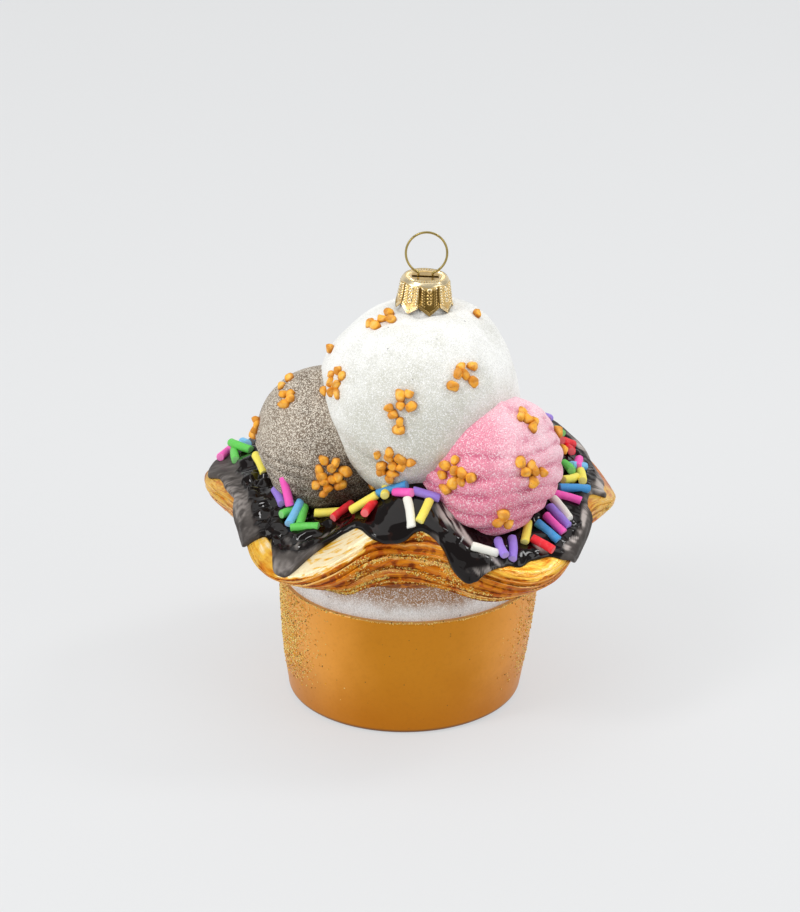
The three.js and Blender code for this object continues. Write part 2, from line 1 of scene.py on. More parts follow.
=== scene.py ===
"""A blown glass hanging ornament in the form of a waffle sundae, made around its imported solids.

The shape functions work in millimetres, and a piece is scaled to metres when its mesh is made. A place
on the brim is an azimuth, in degrees from +X with the viewer's side at -90, and a reach: -1 at the hem,
0 at the bend and 1 at the crown under the scoops. A place on a scoop is an azimuth and an elevation
about its centre.
"""

import bpy
import numpy as np
from bpy.props import FloatProperty, FloatVectorProperty, PointerProperty
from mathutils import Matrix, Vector


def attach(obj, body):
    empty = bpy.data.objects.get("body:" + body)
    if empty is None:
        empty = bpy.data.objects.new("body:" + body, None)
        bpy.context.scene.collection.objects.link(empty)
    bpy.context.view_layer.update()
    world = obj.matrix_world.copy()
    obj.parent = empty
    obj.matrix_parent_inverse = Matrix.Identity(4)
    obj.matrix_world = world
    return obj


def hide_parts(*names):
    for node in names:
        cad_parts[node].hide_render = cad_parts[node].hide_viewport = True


bl_info = {
    "name": "Waffle sundae ornament",
    "version": (1, 0, 0),
    "blender": (4, 5, 0),
    "location": "3D View > Sidebar > Sundae",
    "description": "Builds the pieces and finishes of a blown glass sundae ornament",
    "category": "Add Mesh",
}

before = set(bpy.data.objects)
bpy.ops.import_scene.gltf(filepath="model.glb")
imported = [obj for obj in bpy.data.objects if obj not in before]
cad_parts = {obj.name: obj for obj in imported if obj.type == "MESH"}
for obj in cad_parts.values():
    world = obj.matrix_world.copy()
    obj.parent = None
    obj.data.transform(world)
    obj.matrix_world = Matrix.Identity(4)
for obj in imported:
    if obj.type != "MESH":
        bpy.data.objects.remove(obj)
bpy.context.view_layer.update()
MM = 0.001

# Cup and white band
FOOT_RADIUS = 27.2
FOOT_CORNER = 1.6
RIM_RADIUS = 30.2
RIM_HEIGHT = 29.8
CUP_SWELL = 0.35
CUP_UNEVENNESS = 0.22
CUP_MEAN_RADIUS = 30
BAND_RADIUS = 28.9
BAND_TOP = 38.0
BAND_INSET = 0.75
BAND_WAIST = 0.5
LATHE_COLUMNS = 288
LEAN = 0.04

# Brim
CROWN_RADIUS = 25.0
BRIM_BELLY = 1.6
BRIM_SOFTNESS = 0.12
TOP_BULGE = 1.5
UNDERSIDE_SAG = 0.8
WAFFLE_COLUMNS = 720
# An even drum about as wide as the brim, on which its noise is read: radius, and height for one of reach
DRUM = (42.0, 20.0)
# The brim's folds: azimuth, hem radius, hem height, bend radius, bend height, crown height
FOLDS = np.array([
    (-91, 35, 41.6, 36, 55.8, 63),
    (-54, 43.4, 39.5, 48.4, 45.3, 54.3),
    (-20, 39.5, 43, 43, 51.3, 55),
    (10, 43.8, 42.6, 47.5, 46, 57),
    (49, 37, 43, 42, 56, 61),
    (86, 45, 41, 49, 46, 60),
    (124, 37, 43, 40, 55, 60),
    (160, 46, 42.8, 50.5, 47.3, 57),
    (197, 39, 43.5, 41.5, 51.5, 55),
    (231, 42.4, 41, 48, 45, 53),
])

# Dips of the hem: azimuth, height and width in degrees
HEM_DIPS = [(-111, -1.4, 4.5), (-67, -1.1, 8)]

# Chocolate: its grid, how deep its underside lies in the brim, the reach where it ends under the scoops, and
# the length of the profile near the bend for one of reach
COAT_COLUMNS = 900
COAT_UNDERSIDE = -0.35
COAT_END = 1.1
REACH_LENGTH = 15.0
# Its lower edge: azimuth and reach, softened in fine steps by a bell as wide as so many of them
DRIP_STEP = 0.25
DRIP_WINDOW = 8
DRIP_SOFTNESS = 4.5
DRIP_EDGE = np.array([
    (-200, 0), (-190, 0), (-188.5, 0.06), (-185.5, 0.12), (-181, 0.1), (-177.7, 0.05), (-171, -0.03),
    (-166.2, -0.05), (-162.5, -0.2), (-160.5, -0.45), (-153, -0.48), (-147, -0.42), (-144.8, -0.1),
    (-143.6, 0.2), (-139, 0.22), (-135.2, 0.16), (-132.5, 0.08), (-130.3, -0.02), (-126.5, -0.05),
    (-124.8, 0.02), (-124, 0.22), (-122.5, 0.33), (-120.5, 0.41), (-117, 0.49), (-112, 0.48),
    (-109, 0.36), (-104, 0.08), (-100, -0.12), (-95.5, -0.2), (-92.5, -0.17), (-90, -0.05), (-87.5, 0),
    (-85, -0.02), (-82.5, -0.06), (-80, -0.16), (-79, -0.31), (-77, -0.49), (-74, -0.57), (-71.5, -0.48),
    (-70, -0.22), (-68, -0.06), (-65.3, 0.07), (-61, 0.16), (-58.5, 0.14), (-56, 0.17), (-54, 0.2),
    (-49, 0.17), (-46.5, 0.14), (-45, 0.05), (-42, -0.1), (-39.5, -0.45), (-30, -0.55), (-25, -0.35),
    (-22.5, 0), (-17, 0.1), (-11, 0.16), (-7.8, 0.14), (-6.3, 0.01), (-4.5, 0.01), (-2, 0.1), (2, 0.13),
    (7, 0.12), (13, 0.14), (20, 0.1), (26, -0.02), (33, -0.15), (40, 0.1), (47, 0.3), (54, 0.1),
    (60, -0.3), (66, -0.25), (71, 0.12), (80, 0.2), (86, -0.05), (91, -0.12), (97, 0.15), (106, 0.22),
    (112, -0.1), (118, -0.35), (125, -0.3), (131, 0.1), (140, 0.2), (147, 0.05), (153, 0.1),
])

# The pastry's layers: how many, how far the last one reaches past its line, and then the azimuth and the
# reach of the upper edge of each of the others, the highest one first
LAYERS = 6
TOP_LAYER_REACH = 0.16
LAYER_LINES = np.array([
    (-205, -0.12, -0.32, -0.5, -0.7, -0.86), (-185, -0.05, -0.3, -0.52, -0.72, -0.88),
    (-170, -0.2, -0.38, -0.55, -0.7, -0.86), (-150, -0.15, -0.34, -0.52, -0.7, -0.86),
    (-138, -0.1, -0.32, -0.55, -0.74, -0.88), (-130, -0.2, -0.45, -0.65, -0.8, -0.91),
    (-124, -0.16, -0.5, -0.74, -0.85, -0.93), (-121, -0.11, -0.42, -0.69, -0.82, -0.92),
    (-116, -0.05, -0.27, -0.52, -0.75, -0.88), (-112, -0.01, -0.2, -0.41, -0.69, -0.86),
    (-109, 0, -0.15, -0.36, -0.67, -0.86), (-106, 0, -0.13, -0.33, -0.64, -0.87),
    (-103, -0.02, -0.14, -0.33, -0.61, -0.86), (-98, -0.12, -0.24, -0.37, -0.62, -0.85),
    (-93, -0.22, -0.33, -0.42, -0.66, -0.87), (-88, -0.2, -0.34, -0.43, -0.72, -0.9),
    (-84, -0.12, -0.3, -0.41, -0.76, -0.9), (-80, -0.08, -0.25, -0.39, -0.77, -0.9),
    (-76, -0.12, -0.25, -0.37, -0.74, -0.87), (-72, -0.15, -0.28, -0.4, -0.71, -0.85),
    (-68, -0.1, -0.25, -0.44, -0.68, -0.84), (-62, -0.04, -0.22, -0.48, -0.7, -0.86),
    (-50, -0.1, -0.3, -0.52, -0.72, -0.87), (-35, -0.08, -0.28, -0.5, -0.7, -0.86),
    (-20, -0.14, -0.36, -0.55, -0.72, -0.87), (0, -0.18, -0.4, -0.58, -0.74, -0.88),
    (25, -0.1, -0.3, -0.52, -0.7, -0.86), (49, -0.06, -0.22, -0.42, -0.66, -0.86),
    (70, -0.14, -0.34, -0.56, -0.74, -0.88), (95, -0.16, -0.36, -0.55, -0.72, -0.87),
    (124, -0.05, -0.2, -0.4, -0.64, -0.85), (140, -0.15, -0.36, -0.56, -0.74, -0.88),
])
# Hollows between the layers: azimuth, reach, their half sizes and depth
HOLLOWS = [
    (-105.5, -0.47, 2.4, 0.05, 0.8), (-102, -0.56, 1.5, 0.035, 0.6), (-66, -0.19, 3.5, 0.05, 0.7),
    (-95, -0.5, 3.0, 0.03, 0.4), (-176, -0.2, 5.0, 0.07, 0.7), (40, -0.5, 4.0, 0.05, 0.8),
    (56, -0.35, 3.0, 0.04, 0.6), (118, -0.5, 4.0, 0.05, 0.8), (131, -0.3, 3.0, 0.04, 0.6),
    (-110, -0.57, 2.0, 0.032, 0.6), (-98, -0.43, 2.2, 0.03, 0.55), (-91, -0.6, 2.6, 0.035, 0.55),
    (-82, -0.53, 2.2, 0.03, 0.55), (-73, -0.5, 2.0, 0.03, 0.5), (-115, -0.73, 2.2, 0.032, 0.55),
    (-60, -0.5, 2.4, 0.035, 0.5), (-50, -0.62, 2.6, 0.03, 0.5), (-128, -0.6, 2.4, 0.035, 0.5),
]
# The pale rolled edge, partly pale paint and partly a painted highlight where it faces the light: azimuth,
# the reach down to which it is pale, and how pale it is
PALE_EDGE = np.array([
    (-200, -0.3, 0.2), (-186, -0.5, 0.42), (-170, -0.5, 0.3), (-151, 0, 0), (-148, -0.25, 0.4),
    (-144, -0.6, 0.5), (-139, -0.55, 0.52), (-136, -0.25, 0.3), (-131, -0.2, 0.4), (-127, -0.13, 0.9),
    (-118, -0.04, 1), (-107, 0.01, 1), (-103, 0, 0.7), (-99, 0, 0), (-89, -0.04, 0), (-86.5, -0.06, 0.75),
    (-83, -0.1, 0.85), (-80, -0.12, 0.2), (-76, -0.2, 0), (-71, -0.25, 0.35), (-66, -0.1, 0.3),
    (-60, -0.12, 0.42), (-53, -0.06, 0.46), (-46, -0.14, 0.42), (-42, -0.36, 0.55), (-37, -0.4, 0.35),
    (-31, -0.4, 0), (-18, -0.5, 0.3), (-10, -0.6, 0.45), (4, -0.5, 0.38), (20, -0.2, 0), (38, -0.05, 0.6),
    (56, 0, 0.95), (68, -0.3, 0.9), (84, -0.3, 0.4), (100, -0.25, 0.9), (114, -0.1, 0.9), (126, 0, 0.1),
    (136, -0.1, 0.8), (150, -0.3, 0.6),
])

# The second, wetter pour of chocolate: azimuth, the reach of its edge and how lumpy it is
POUR_EDGE = np.array([
    (-205, 0.38, 1), (-189, 0.33, 0.9), (-176, 0.27, 1), (-166, 0.17, 1), (-160, 0.16, 0.85),
    (-149, 0.15, 0.85), (-139, 0.15, 1), (-135, 0.21, 1), (-131, 0.26, 1), (-127, 0.29, 0.9),
    (-124, 0.36, 0.8), (-121, 0.4, 0.6), (-117, 0.3, 0.5), (-110, 0.1, 0.3), (-107, 0, 0.05),
    (-96, -0.3, 0), (-88, -0.3, 0), (-85, 0, 0.05), (-82, 0, 0.2), (-76, -0.7, 0.45), (-66, -0.3, 0.6),
    (-58, 0, 0.6), (-50, 0, 0.6), (-45, 0.06, 0.5), (-41, 0.12, 0.5), (-36, 0.08, 0.5), (-30, 0.04, 0.5),
    (-24, 0.1, 0.3), (-15, 0.2, 0.5), (0, 0.26, 0.7), (14, 0.24, 0.8), (30, 0.2, 0.8), (46, 0.4, 0.8),
    (60, 0.1, 0.9), (76, 0.3, 1), (92, 0.15, 1), (106, 0.36, 0.8), (118, 0, 0.8), (134, 0.28, 1),
    (148, 0.22, 1),
])
# Brushed strokes in the chocolate, painted as pale sheen where the brush marks catch the light: azimuth,
# reach, half width in reach and strength along each stroke
STROKES = [
    [(-86.5, 0.4, 0.2, 0), (-85, 0.4, 0.2, 0.12), (-82.5, 0.42, 0.2, 0.15), (-80.5, 0.45, 0.17, 0.6),
     (-78, 0.44, 0.17, 1), (-75, 0.38, 0.14, 0.9), (-72, 0.28, 0.1, 0.9), (-69, 0.18, 0.07, 0.9),
     (-66, 0.13, 0.05, 0.8), (-63, 0.13, 0.04, 0.5), (-60, 0.15, 0.04, 0)],
    [(-44, 0.1, 0.03, 0), (-41, 0.07, 0.04, 0.6), (-36, 0.03, 0.05, 0.9), (-30, 0, 0.05, 0.8),
     (-24, 0.05, 0.05, 0.7), (-20, 0.1, 0.03, 0)],
    [(-50.5, 0.28, 0.05, 0), (-49, 0.27, 0.07, 0.9), (-47.5, 0.23, 0.06, 0.7), (-46.5, 0.2, 0.04, 0)],
    [(-137, 0.34, 0.03, 0), (-134, 0.36, 0.05, 0.3), (-129, 0.36, 0.05, 0.45), (-126, 0.46, 0.05, 0.4),
     (-122, 0.56, 0.05, 0.35), (-118, 0.66, 0.05, 0.2), (-116, 0.7, 0.03, 0)],
    [(-12, 0.15, 0.04, 0), (-4, 0.13, 0.06, 0.8), (4, 0.18, 0.07, 0.8), (10, 0.15, 0.05, 0.3),
     (20, 0.14, 0.06, 0.6), (27, 0.1, 0.06, 0.6), (36, 0.05, 0.04, 0)],
    [(-75, -0.3, 0.05, 0), (-71, -0.16, 0.08, 0.5), (-67, -0.02, 0.07, 0.6), (-62, 0.04, 0.05, 0)],
    [(-188, 0.1, 0.1, 0), (-180, 0.06, 0.16, 0.2), (-168, 0, 0.14, 0.25), (-156, -0.1, 0.2, 0.2),
     (-148, -0.2, 0.1, 0)],
    [(-137, 0.14, 0.05, 0), (-131, 0.05, 0.1, 0.16), (-126, 0.1, 0.1, 0.16), (-124, 0.2, 0.1, 0)],
    [(60, 0.2, 0.05, 0), (68, 0.3, 0.12, 0.8), (76, 0.36, 0.08, 0.5), (82, 0.4, 0.04, 0)],
    [(100, 0.3, 0.05, 0), (108, 0.36, 0.1, 0.7), (116, 0.3, 0.06, 0)],
]

# Scoops: columns and rows of their grids, then centre, radius and how far the back is drawn out
SCOOP_GRID = (320, 180)
SCOOPS = {
    "white": ((0.1, -7, 74.6), 22.5, 1.35),
    "brown": ((-20, -5, 64.25), 16.7, 1.0),
    "pink": ((16.8, -18.5, 63.3), 16.0, 1.0),
}
# Swells and dents of a scoop: azimuth, elevation, height and width in degrees
SWELLS = {
    "white": [(-170, -28, -2.4, 26), (30, 48, 1.2, 22), (170, 21, 0.9, 15), (-100, -32, 1.2, 12)],
    "brown": [(-95, -36, 2.0, 24), (-52, -22, 3.0, 15), (140, 50, 0.4, 25), (-168, -25, -1.6, 18)],
    "pink": [(-155, -3, 1.6, 17), (-100, -32, 1.6, 28), (-20, -45, -1.5, 25), (28, 48, 0.8, 18)],
}
# Their glitter: second colour, flashes (painted glints) with their share and size, share of dark specks, a
# fade of painted light and shade with its direction, start, end and colour, the colour, start and end of the
# painted shade in the creases, and how much the fade's painted shade dims the flashes
SCOOP_LOOKS = {
    # White: painted shade toward the front and the lower part, and painted shade in the creases
    "white": {
        "shade": "EAEAE4", "spark": "FFFFFF", "sparks": 0.24, "size": 0.26, "specks": 0.012,
        "fade": ((0, -1, -0.3), -17, 8, "CFCEC2"), "crease": ("BEBEB0", 0.1, 0.6),
    },
    # Brown: painted shade toward the lower right, which also dims the flashes, and painted shade in the
    # creases
    "brown": {
        "shade": "6E5E4E", "spark": "FFF6E6", "sparks": 0.42, "size": 0.25, "specks": 0.01,
        "fade": ((0.5, 0, -0.86), -72, -54, "2E1C04"), "crease": ("261604", 0, 0.26), "shade_dimming": 0.85,
    },
    # Pink: a paler painted highlight toward the upper right, and painted shade in the creases
    "pink": {
        "shade": "DC7892", "spark": "FFF0F4", "sparks": 0.2, "size": 0.25, "specks": 0.004,
        "fade": ((0.6, 0, 0.6), 51, 66, "FBD0DA"), "crease": ("C8567A", 0.02, 0.36),
    },
}
NECK_DENT = 1.7
NECK_DENT_ANGLE = 18
COLLAR_HEIGHT = 1.4
COLLAR_RADIUS = 5.6

# Chopped nuts, in clusters: azimuth and elevation about the scoop's centre
NUTS = {
    "white": [
        (-176, 71), (-148, 69), (-162, 66), (-156, 60), (-166, 59), (10, 57), (-160, 23), (-155, 28),
        (-148, 27), (-158, 20), (-150, 21), (-153, 16), (-164, 12), (-147, 16), (-102, 25), (-97, 26),
        (-101, 19), (-95, 19), (-108, 17), (-105, 14), (-101, 10), (-101, 6), (-60, 39), (-64, 35),
        (-51, 38), (-59, 34), (-69, 29), (-54, 29), (-113, -11), (-106, -8), (-106, -12), (-100, -12),
        (-94, -14), (-111, -18), (-104, -17), (-99, -17), (-111, -22), (-104, -22), (-106, -26),
        (176, 30),
    ],
    "brown": [
        (-155, 49), (-145, 52), (-140, 49), (-143, 43), (177, 58), (-175, 51), (-177, 17), (-172, 15),
        (-174, 10), (-180, 4), (-92, 7), (-83, 5), (-86, 1), (-95, 0), (-93, -5), (-76, -2), (-81, -7),
        (-85, -8), (-97, -12), (-91, -10), (-78, -13), (-88, -15), (-91, -19), (-54, -15),
    ],
    "pink": [
        (-30, 64), (-43, 61), (-35, 57), (-26, 52), (-37, 49), (-125, 25), (-132, 19), (-123, 17),
        (-116, 17), (-133, 11), (-108, 14), (-122, 8), (-115, 10), (-128, 1), (-67, 25), (-57, 21),
        (-63, 17), (-54, 17), (-45, 12), (-56, 7), (-81, -14), (-80, -18), (-84, -21), (-75, -25),
        (6, 12), (10, 26),
    ],
}
# Clusters round the back: scoop, azimuth and elevation
BACK_CLUSTERS = [
    ("white", 40, 8), ("white", 75, 25), ("white", 100, 0), ("white", 132, 6), ("brown", 118, 12),
    ("pink", 48, 4),
]

BACK_CHIPS = 4
BACK_SPREAD = 6.5
NUT_HEIGHT = 0.25
# A chip's form: its grid, the random planes beside the six of a box, how sharply they meet, how far out it
# may reach, and its stretch along three axes
NUT_ROWS = 11
NUT_COLUMNS = 18
NUT_PLANES = 8
NUT_SHARPNESS = 14
NUT_REACH = 1.3
NUT_STRETCH = (1.2, 1.0, 0.86)

# Tube sprinkles: height of the coat that they lie on, how far they sink into it, and their sides
SPRINKLE_SEAT = 0.7
SPRINKLE_SINK = 0.35
SPRINKLE_SIDES = 16
# Each sprinkle in view: colour, then azimuth, reach and lift of each of its two ends
SPRINKLES = [
    ("pink", -197.5, 0.15, 0.5, -205.4, 0.13, 0), ("green", -202.1, 0.18, 2.5, -196.9, 0.44, 0),
    ("green", -191.4, 0.32, 0, -201, 0.24, 0.5), ("sky", -202.4, 0.36, 0.5, -208.9, 0.16, 0),
    ("yellow", -185.3, 0.51, 1.5, -173.2, 0.51, 0), ("pink", -148.8, 0.52, 6.5, -143.2, 0.55, 1.5),
    ("purple", -158.3, 0.5, 0, -147.5, 0.51, 0.5), ("green", -155.3, 0.68, 0, -144.3, 0.64, 0),
    ("sky", -142.2, 0.68, 1.5, -137.1, 0.44, 1), ("green", -143, 0.43, 1, -142.5, 0.69, 0),
    ("green", -141, 0.71, 0.5, -134.7, 0.53, 0.5), ("green", -136.9, 0.46, 0, -128, 0.62, 0),
    ("yellow", -135.3, 0.73, 0, -124.9, 0.88, 0), ("red", -125.1, 0.73, 0.5, -123.9, 1.01, 0.5),
    ("yellow", -117.6, 0.75, 1, -107, 0.76, 1), ("red", -109.2, 0.48, 1.5, -108, 0.77, -0.5),
    ("blue", -107.5, 0.83, 0.5, -93.7, 0.76, 0), ("yellow", -102.8, 0.66, 0.5, -105.2, 1.04, -0.5),
    ("pink", -99.8, 0.74, -0.5, -91.8, 0.47, 1.5), ("purple", -91.3, 0.63, 0, -80, 0.6, 0.5),
    ("white", -92.9, 0.48, 0, -90.8, 0.02, 0), ("yellow", -84.2, 0.51, 0, -88.4, 0.08, 0.5),
    ("white", -71.8, 0.15, 0, -64.1, 0.22, 0), ("purple", -61.7, 0.41, 0, -63.3, 0.14, 1.5),
    ("purple", -55, 0.45, 0, -59.9, 0.19, 0), ("yellow", -45.2, 0.52, 0, -52.5, 0.36, 0),
    ("red", -49, 0.37, 0, -46.5, 0.14, 0.5), ("blue", -42.7, 0.46, 0, -42.2, 0.18, 0),
    ("pink", -37.6, 0.44, 0, -38.8, 0.18, 0), ("purple", -32.5, 0.46, 0, -35.5, 0.16, 0),
    ("white", -27.3, 0.46, 0, -32.6, 0.17, 0), ("pink", -25.2, 0.51, 0.2, -22.2, 0.15, 0.1),
    ("blue", -19.1, 0.47, 0, -12.8, 0.18, 0.5), ("yellow", -13.7, 0.47, 0.5, -5, 0.4, 0),
    ("yellow", 2.5, 0.41, 0, -8.3, 0.3, 0.5), ("green", 4.3, 0.58, -0.5, -4.8, 0.46, 1),
    ("pink", 11.4, 0.4, 0.5, 1.6, 0.45, 0.5), ("sky", 1.1, 0.51, 0.5, 8.4, 0.35, 0),
    ("red", 20, 0.5, 1, 25, 0.25, -0.5), ("red", 20.9, 0.41, -0.5, 11.7, 0.47, 1.5),
    ("green", 31.3, 0.31, -0.5, 22.2, 0.46, 2), ("purple", 32.7, 0.46, 1.5, 38.3, 0.16, -0.5),
]
# The rule for those at the back: azimuths, reaches, the turn from one to the next, and their size
BACK_SPRINKLES = {
    "first": 40, "last": 146, "step": 6.1, "near": 0.28, "spread": 0.42, "turn": 47, "arc": 10.5, "rise": 0.2,
}

# Glitter on the cup: azimuth, spread in degrees and flakes of each patch, and the flakes on the lip
CUP_PATCHES = [
    (-160, 11, 3800), (-18, 9, 900), (90, 12, 600),
]
LIP_FLAKES = 1100
# Glitter along the pastry's layers: which line, first and last azimuth, shift and spread in reach, flakes
GLITTER_SEAMS = [
    (2, -106, -99, -0.02, 0.02, 70), (2, -99, -85, -0.01, 0.02, 230), (2, -85, -72, -0.02, 0.025, 150),
    (3, -104, -92, 0.0, 0.02, 80), (3, -92, -66, -0.01, 0.022, 300), (4, -117, -98, 0.02, 0.05, 420),
    (4, -98, -70, -0.06, 0.03, 130), (4, -124, -114, 0.0, 0.03, 90), (4, -70, -38, -0.1, 0.02, 130),
    (1, -112, -104, -0.06, 0.04, 70), (3, 20, 80, 0.0, 0.04, 260), (4, 96, 150, 0.0, 0.04, 260),
    (4, 165, 215, 0.0, 0.04, 140), (3, -12, 14, 0.0, 0.04, 90), (2, 60, 120, 0.0, 0.02, 160),
]
# Glitter in clusters: azimuth, reach, spread in degrees and in reach, flakes
GLITTER_CLUSTERS = [
    (-107.5, -0.52, 1.5, 0.05, 80), (-106, -0.3, 1.0, 0.05, 45), (-88, -0.1, 0.7, 0.05, 60),
    (-86, -0.5, 1.0, 0.05, 50), (-79, -0.5, 1.2, 0.05, 80), (-110, -0.9, 2.2, 0.05, 150),
    (-76, -0.62, 1.6, 0.05, 60), (-68, -0.9, 2.6, 0.05, 110), (-122, -0.84, 1.2, 0.05, 60),
    (-28, -0.75, 1.2, 0.08, 30), (-6, -0.35, 2.0, 0.12, 90), (-33, -0.3, 0.7, 0.1, 30),
    (60, -0.6, 2.0, 0.1, 60), (128, -0.6, 2.0, 0.1, 60),
]

# Neck, cap and wire loop, on the axis of the neck
NECK_PLACE = (0.62, -3.0)
CAP_TOP = 103.0
CAP_TOP_RADIUS = 5.35
CAP_HEM_RADIUS = 6.35
CAP_WALL = 0.55
CAP_GAP = 0.17
CAP_PETALS = 8
CAP_PETAL_TURN = -80.0
CAP_PETAL_BULGE = 0.1
CAP_PETAL_POINT = 1.75
CAP_COLUMNS = 384
CAP_SLOT = (6.0, 1.3)
WIRE_SIDES = 14
RING_STEPS = 200
LEG_STEPS = 12
RING_WIDTH_RADIUS = 4.6
RING_HEIGHT_RADIUS = 4.9
RING_CENTRE = 108.3
WIRE_LEG = 1.55
WIRE_FOOT = (2.5, 98.4)

# Stage, in metres: camera, floor with the sweep behind it, and surrounding
CAMERA_PLACE = (-0.00095, -0.723, 0.3758)
CAMERA_PITCH = 23.75
CAMERA_LENS = 136.07
CAMERA_SENSOR = 36
FLOOR_HALF_WIDTH = 2.0
FLOOR_FRONT = -1.6
SWEEP_START = 0.9
SWEEP_RADIUS = 0.7
SWEEP_TOP = 2.2
FLOOR_GLOW = 0.55
SURROUNDING = (0.97, 0.985, 1.0, 1.0)
SURROUNDING_STRENGTH = 0.38
# Soft boxes: name, place, aimed at, width, height, power, colour
LIGHTS = [
    ("overhead", (0.0, -0.05, 1.25), (0, 0, 0.05), 1.3, 1.1, 5.6, (1.0, 0.998, 0.992)),
    ("left", (-1.0, -0.6, 0.4), (0, 0, 0.05), 0.7, 0.6, 4.5, (1.0, 1.0, 0.99)),
    ("right", (1.0, -0.5, 0.4), (0, 0, 0.05), 0.7, 0.6, 3.0, (1.0, 0.995, 0.99)),
    ("left_glint", (-0.45, -0.35, 0.7), (0, 0, 0.06), 0.16, 0.2, 1.8, (1.0, 1.0, 1.0)),
    ("right_glint", (0.5, 0.1, 0.65), (0, 0, 0.06), 0.16, 0.2, 1.2, (1.0, 1.0, 1.0)),
]


def tint(code):
    """A web colour such as D98A2B as linear red, green and blue."""
    shades = np.array([int(code[start:start + 2], 16) for start in (0, 2, 4)]) / 255
    linear = np.where(shades > 0.04045, ((shades + 0.055) / 1.055) ** 2.4, shades / 12.92)
    return tuple(float(part) for part in linear)


def scaled(colour, share):
    """A colour with each part made smaller or larger by a share."""
    return tuple(share * part for part in colour)


# --- Numbers and noise -----------------------------------------------------------------------------


def scatter(seed):
    """A number between 0 and 1 that depends on its seed alone."""
    value = np.sin(seed * 12.9898 + 4.1414) * 43758.5453
    return value - np.floor(value)


def smooth_step(low, high, value):
    """0 below low, 1 above high, and an even S curve between them."""
    part = np.clip((value - low) / (high - low), 0, 1)
    return part * part * (3 - 2 * part)


def lattice_noise(points, size, seed=0):
    """Smooth noise from -1 to 1: random values on a cubic lattice, blended between its corners."""
    scaled = np.asarray(points, float) / size + seed * 17.3
    cell = np.floor(scaled)
    part = scaled - cell
    part = part * part * (3 - 2 * part)
    total = 0
    for corner in np.ndindex(2, 2, 2):
        value = np.sin((cell + corner) @ (127.1, 311.7, 74.7) + seed) * 43758.5453
        weight = np.prod(np.where(corner, part, 1 - part), axis=-1)
        total = total + weight * (value - np.floor(value))
    return 2 * total - 1


def direction(azimuth, elevation):
    """The unit vector at an azimuth and an elevation, in degrees."""
    around, up = np.radians(azimuth), np.radians(elevation)
    return np.stack([np.cos(up) * np.cos(around), np.cos(up) * np.sin(around), np.sin(up) + 0 * around], -1)


def lean(points):
    """The blown body leans to +X by a set share of its height."""
    points = np.array(points, float)
    points[..., 0] += LEAN * points[..., 2]
    return points


def unit(vectors):
    """Vectors shortened or stretched to a length of one."""
    return vectors / np.maximum(np.linalg.norm(vectors, axis=-1, keepdims=True), 1e-9)


def matched(*numbers):
    """Numbers and arrays as arrays of one shape."""
    return np.broadcast_arrays(*(np.asarray(number, float) for number in numbers))


def away_from(azimuth, centre):
    """Degrees from a centre to an azimuth, the short way round."""
    return (np.asarray(azimuth, float) - centre + 180) % 360 - 180


def turned(radius, azimuth, height):
    """Points at a radius from the axis, an azimuth and a height."""
    around = np.radians(azimuth)
    return np.stack(np.broadcast_arrays(radius * np.cos(around), radius * np.sin(around), height), -1)


# --- The brim --------------------------------------------------------------------------------------


def fold_at(azimuth):
    """The brim's five sizes at an azimuth: each eases from fold to fold by half a cosine wave."""
    starts = np.append(FOLDS[:, 0], FOLDS[0, 0] + 360) - FOLDS[0, 0]
    turn = (np.asarray(azimuth, float) - FOLDS[0, 0]) % 360
    low = np.clip(np.searchsorted(starts, turn, side="right") - 1, 0, len(FOLDS) - 1)
    part = (turn - starts[low]) / (starts[low + 1] - starts[low])
    weight = (0.5 - 0.5 * np.cos(np.pi * part))[..., None]
    sizes = FOLDS[low, 1:] * (1 - weight) + FOLDS[(low + 1) % len(FOLDS), 1:] * weight
    for centre, dip, width in HEM_DIPS:
        sizes[..., 1] += dip * np.exp(-((away_from(azimuth, centre) / width) ** 2))
    return np.moveaxis(sizes, -1, 0)


def brim_corner(fold, reach):
    """Radius and height of the brim: a bellied face below the bend, a falling top above it."""
    hem_radius, hem_height, bend_radius, bend_height, crown_height = fold
    rise = np.minimum(reach, 0) + 1
    top = np.maximum(reach, 0)
    face_radius = hem_radius + (bend_radius - hem_radius) * rise + BRIM_BELLY * np.sin(np.pi * rise)
    face_height = hem_height + (bend_height - hem_height) * rise
    bulge = 1 - np.maximum(0, 1 - top) ** TOP_BULGE
    top_radius = bend_radius + (CROWN_RADIUS - bend_radius) * top
    top_height = bend_height + (crown_height - bend_height) * bulge
    return np.where(reach <= 0, (face_radius, face_height), (top_radius, top_height))


def brim_point(azimuth, reach):
    """The same with the bend rounded off, as the mean of five corner points along the profile."""
    fold = fold_at(azimuth)
    shifts = BRIM_SOFTNESS * np.linspace(-1, 1, 5)
    return sum(brim_corner(fold, np.clip(reach + shift, -1, 1.3)) for shift in shifts) / 5


def brim_raised(azimuth, reach, height):
    """A brim point moved out along the profile's normal."""
    along = brim_point(azimuth, reach + 0.03) - brim_point(azimuth, reach - 0.03)
    along = along / np.hypot(*along)
    return brim_point(azimuth, reach) + height * np.stack([along[1], -along[0]])


def on_brim(azimuth, reach, height):
    """Brim places as points in space, before the lean."""
    azimuth, reach = matched(azimuth, reach)
    radius, level = brim_raised(azimuth, reach, height)
    return turned(radius, azimuth, level)


def round_table(rows, azimuth):
    """The columns of a table at an azimuth, straight between its rows and closed round the circle."""
    turn = (np.asarray(azimuth, float) - rows[0, 0]) % 360
    starts = np.append(rows[:, 0], rows[0, 0] + 360) - rows[0, 0]
    closed = np.vstack([rows, rows[:1]])
    return [np.interp(turn, starts, closed[:, column]) for column in range(1, rows.shape[1])]


def round_point(azimuth, reach):
    """A place on the brim as a point of an even drum, for noise that runs on round the circle."""
    return turned(DRUM[0], azimuth, DRUM[1] * reach)


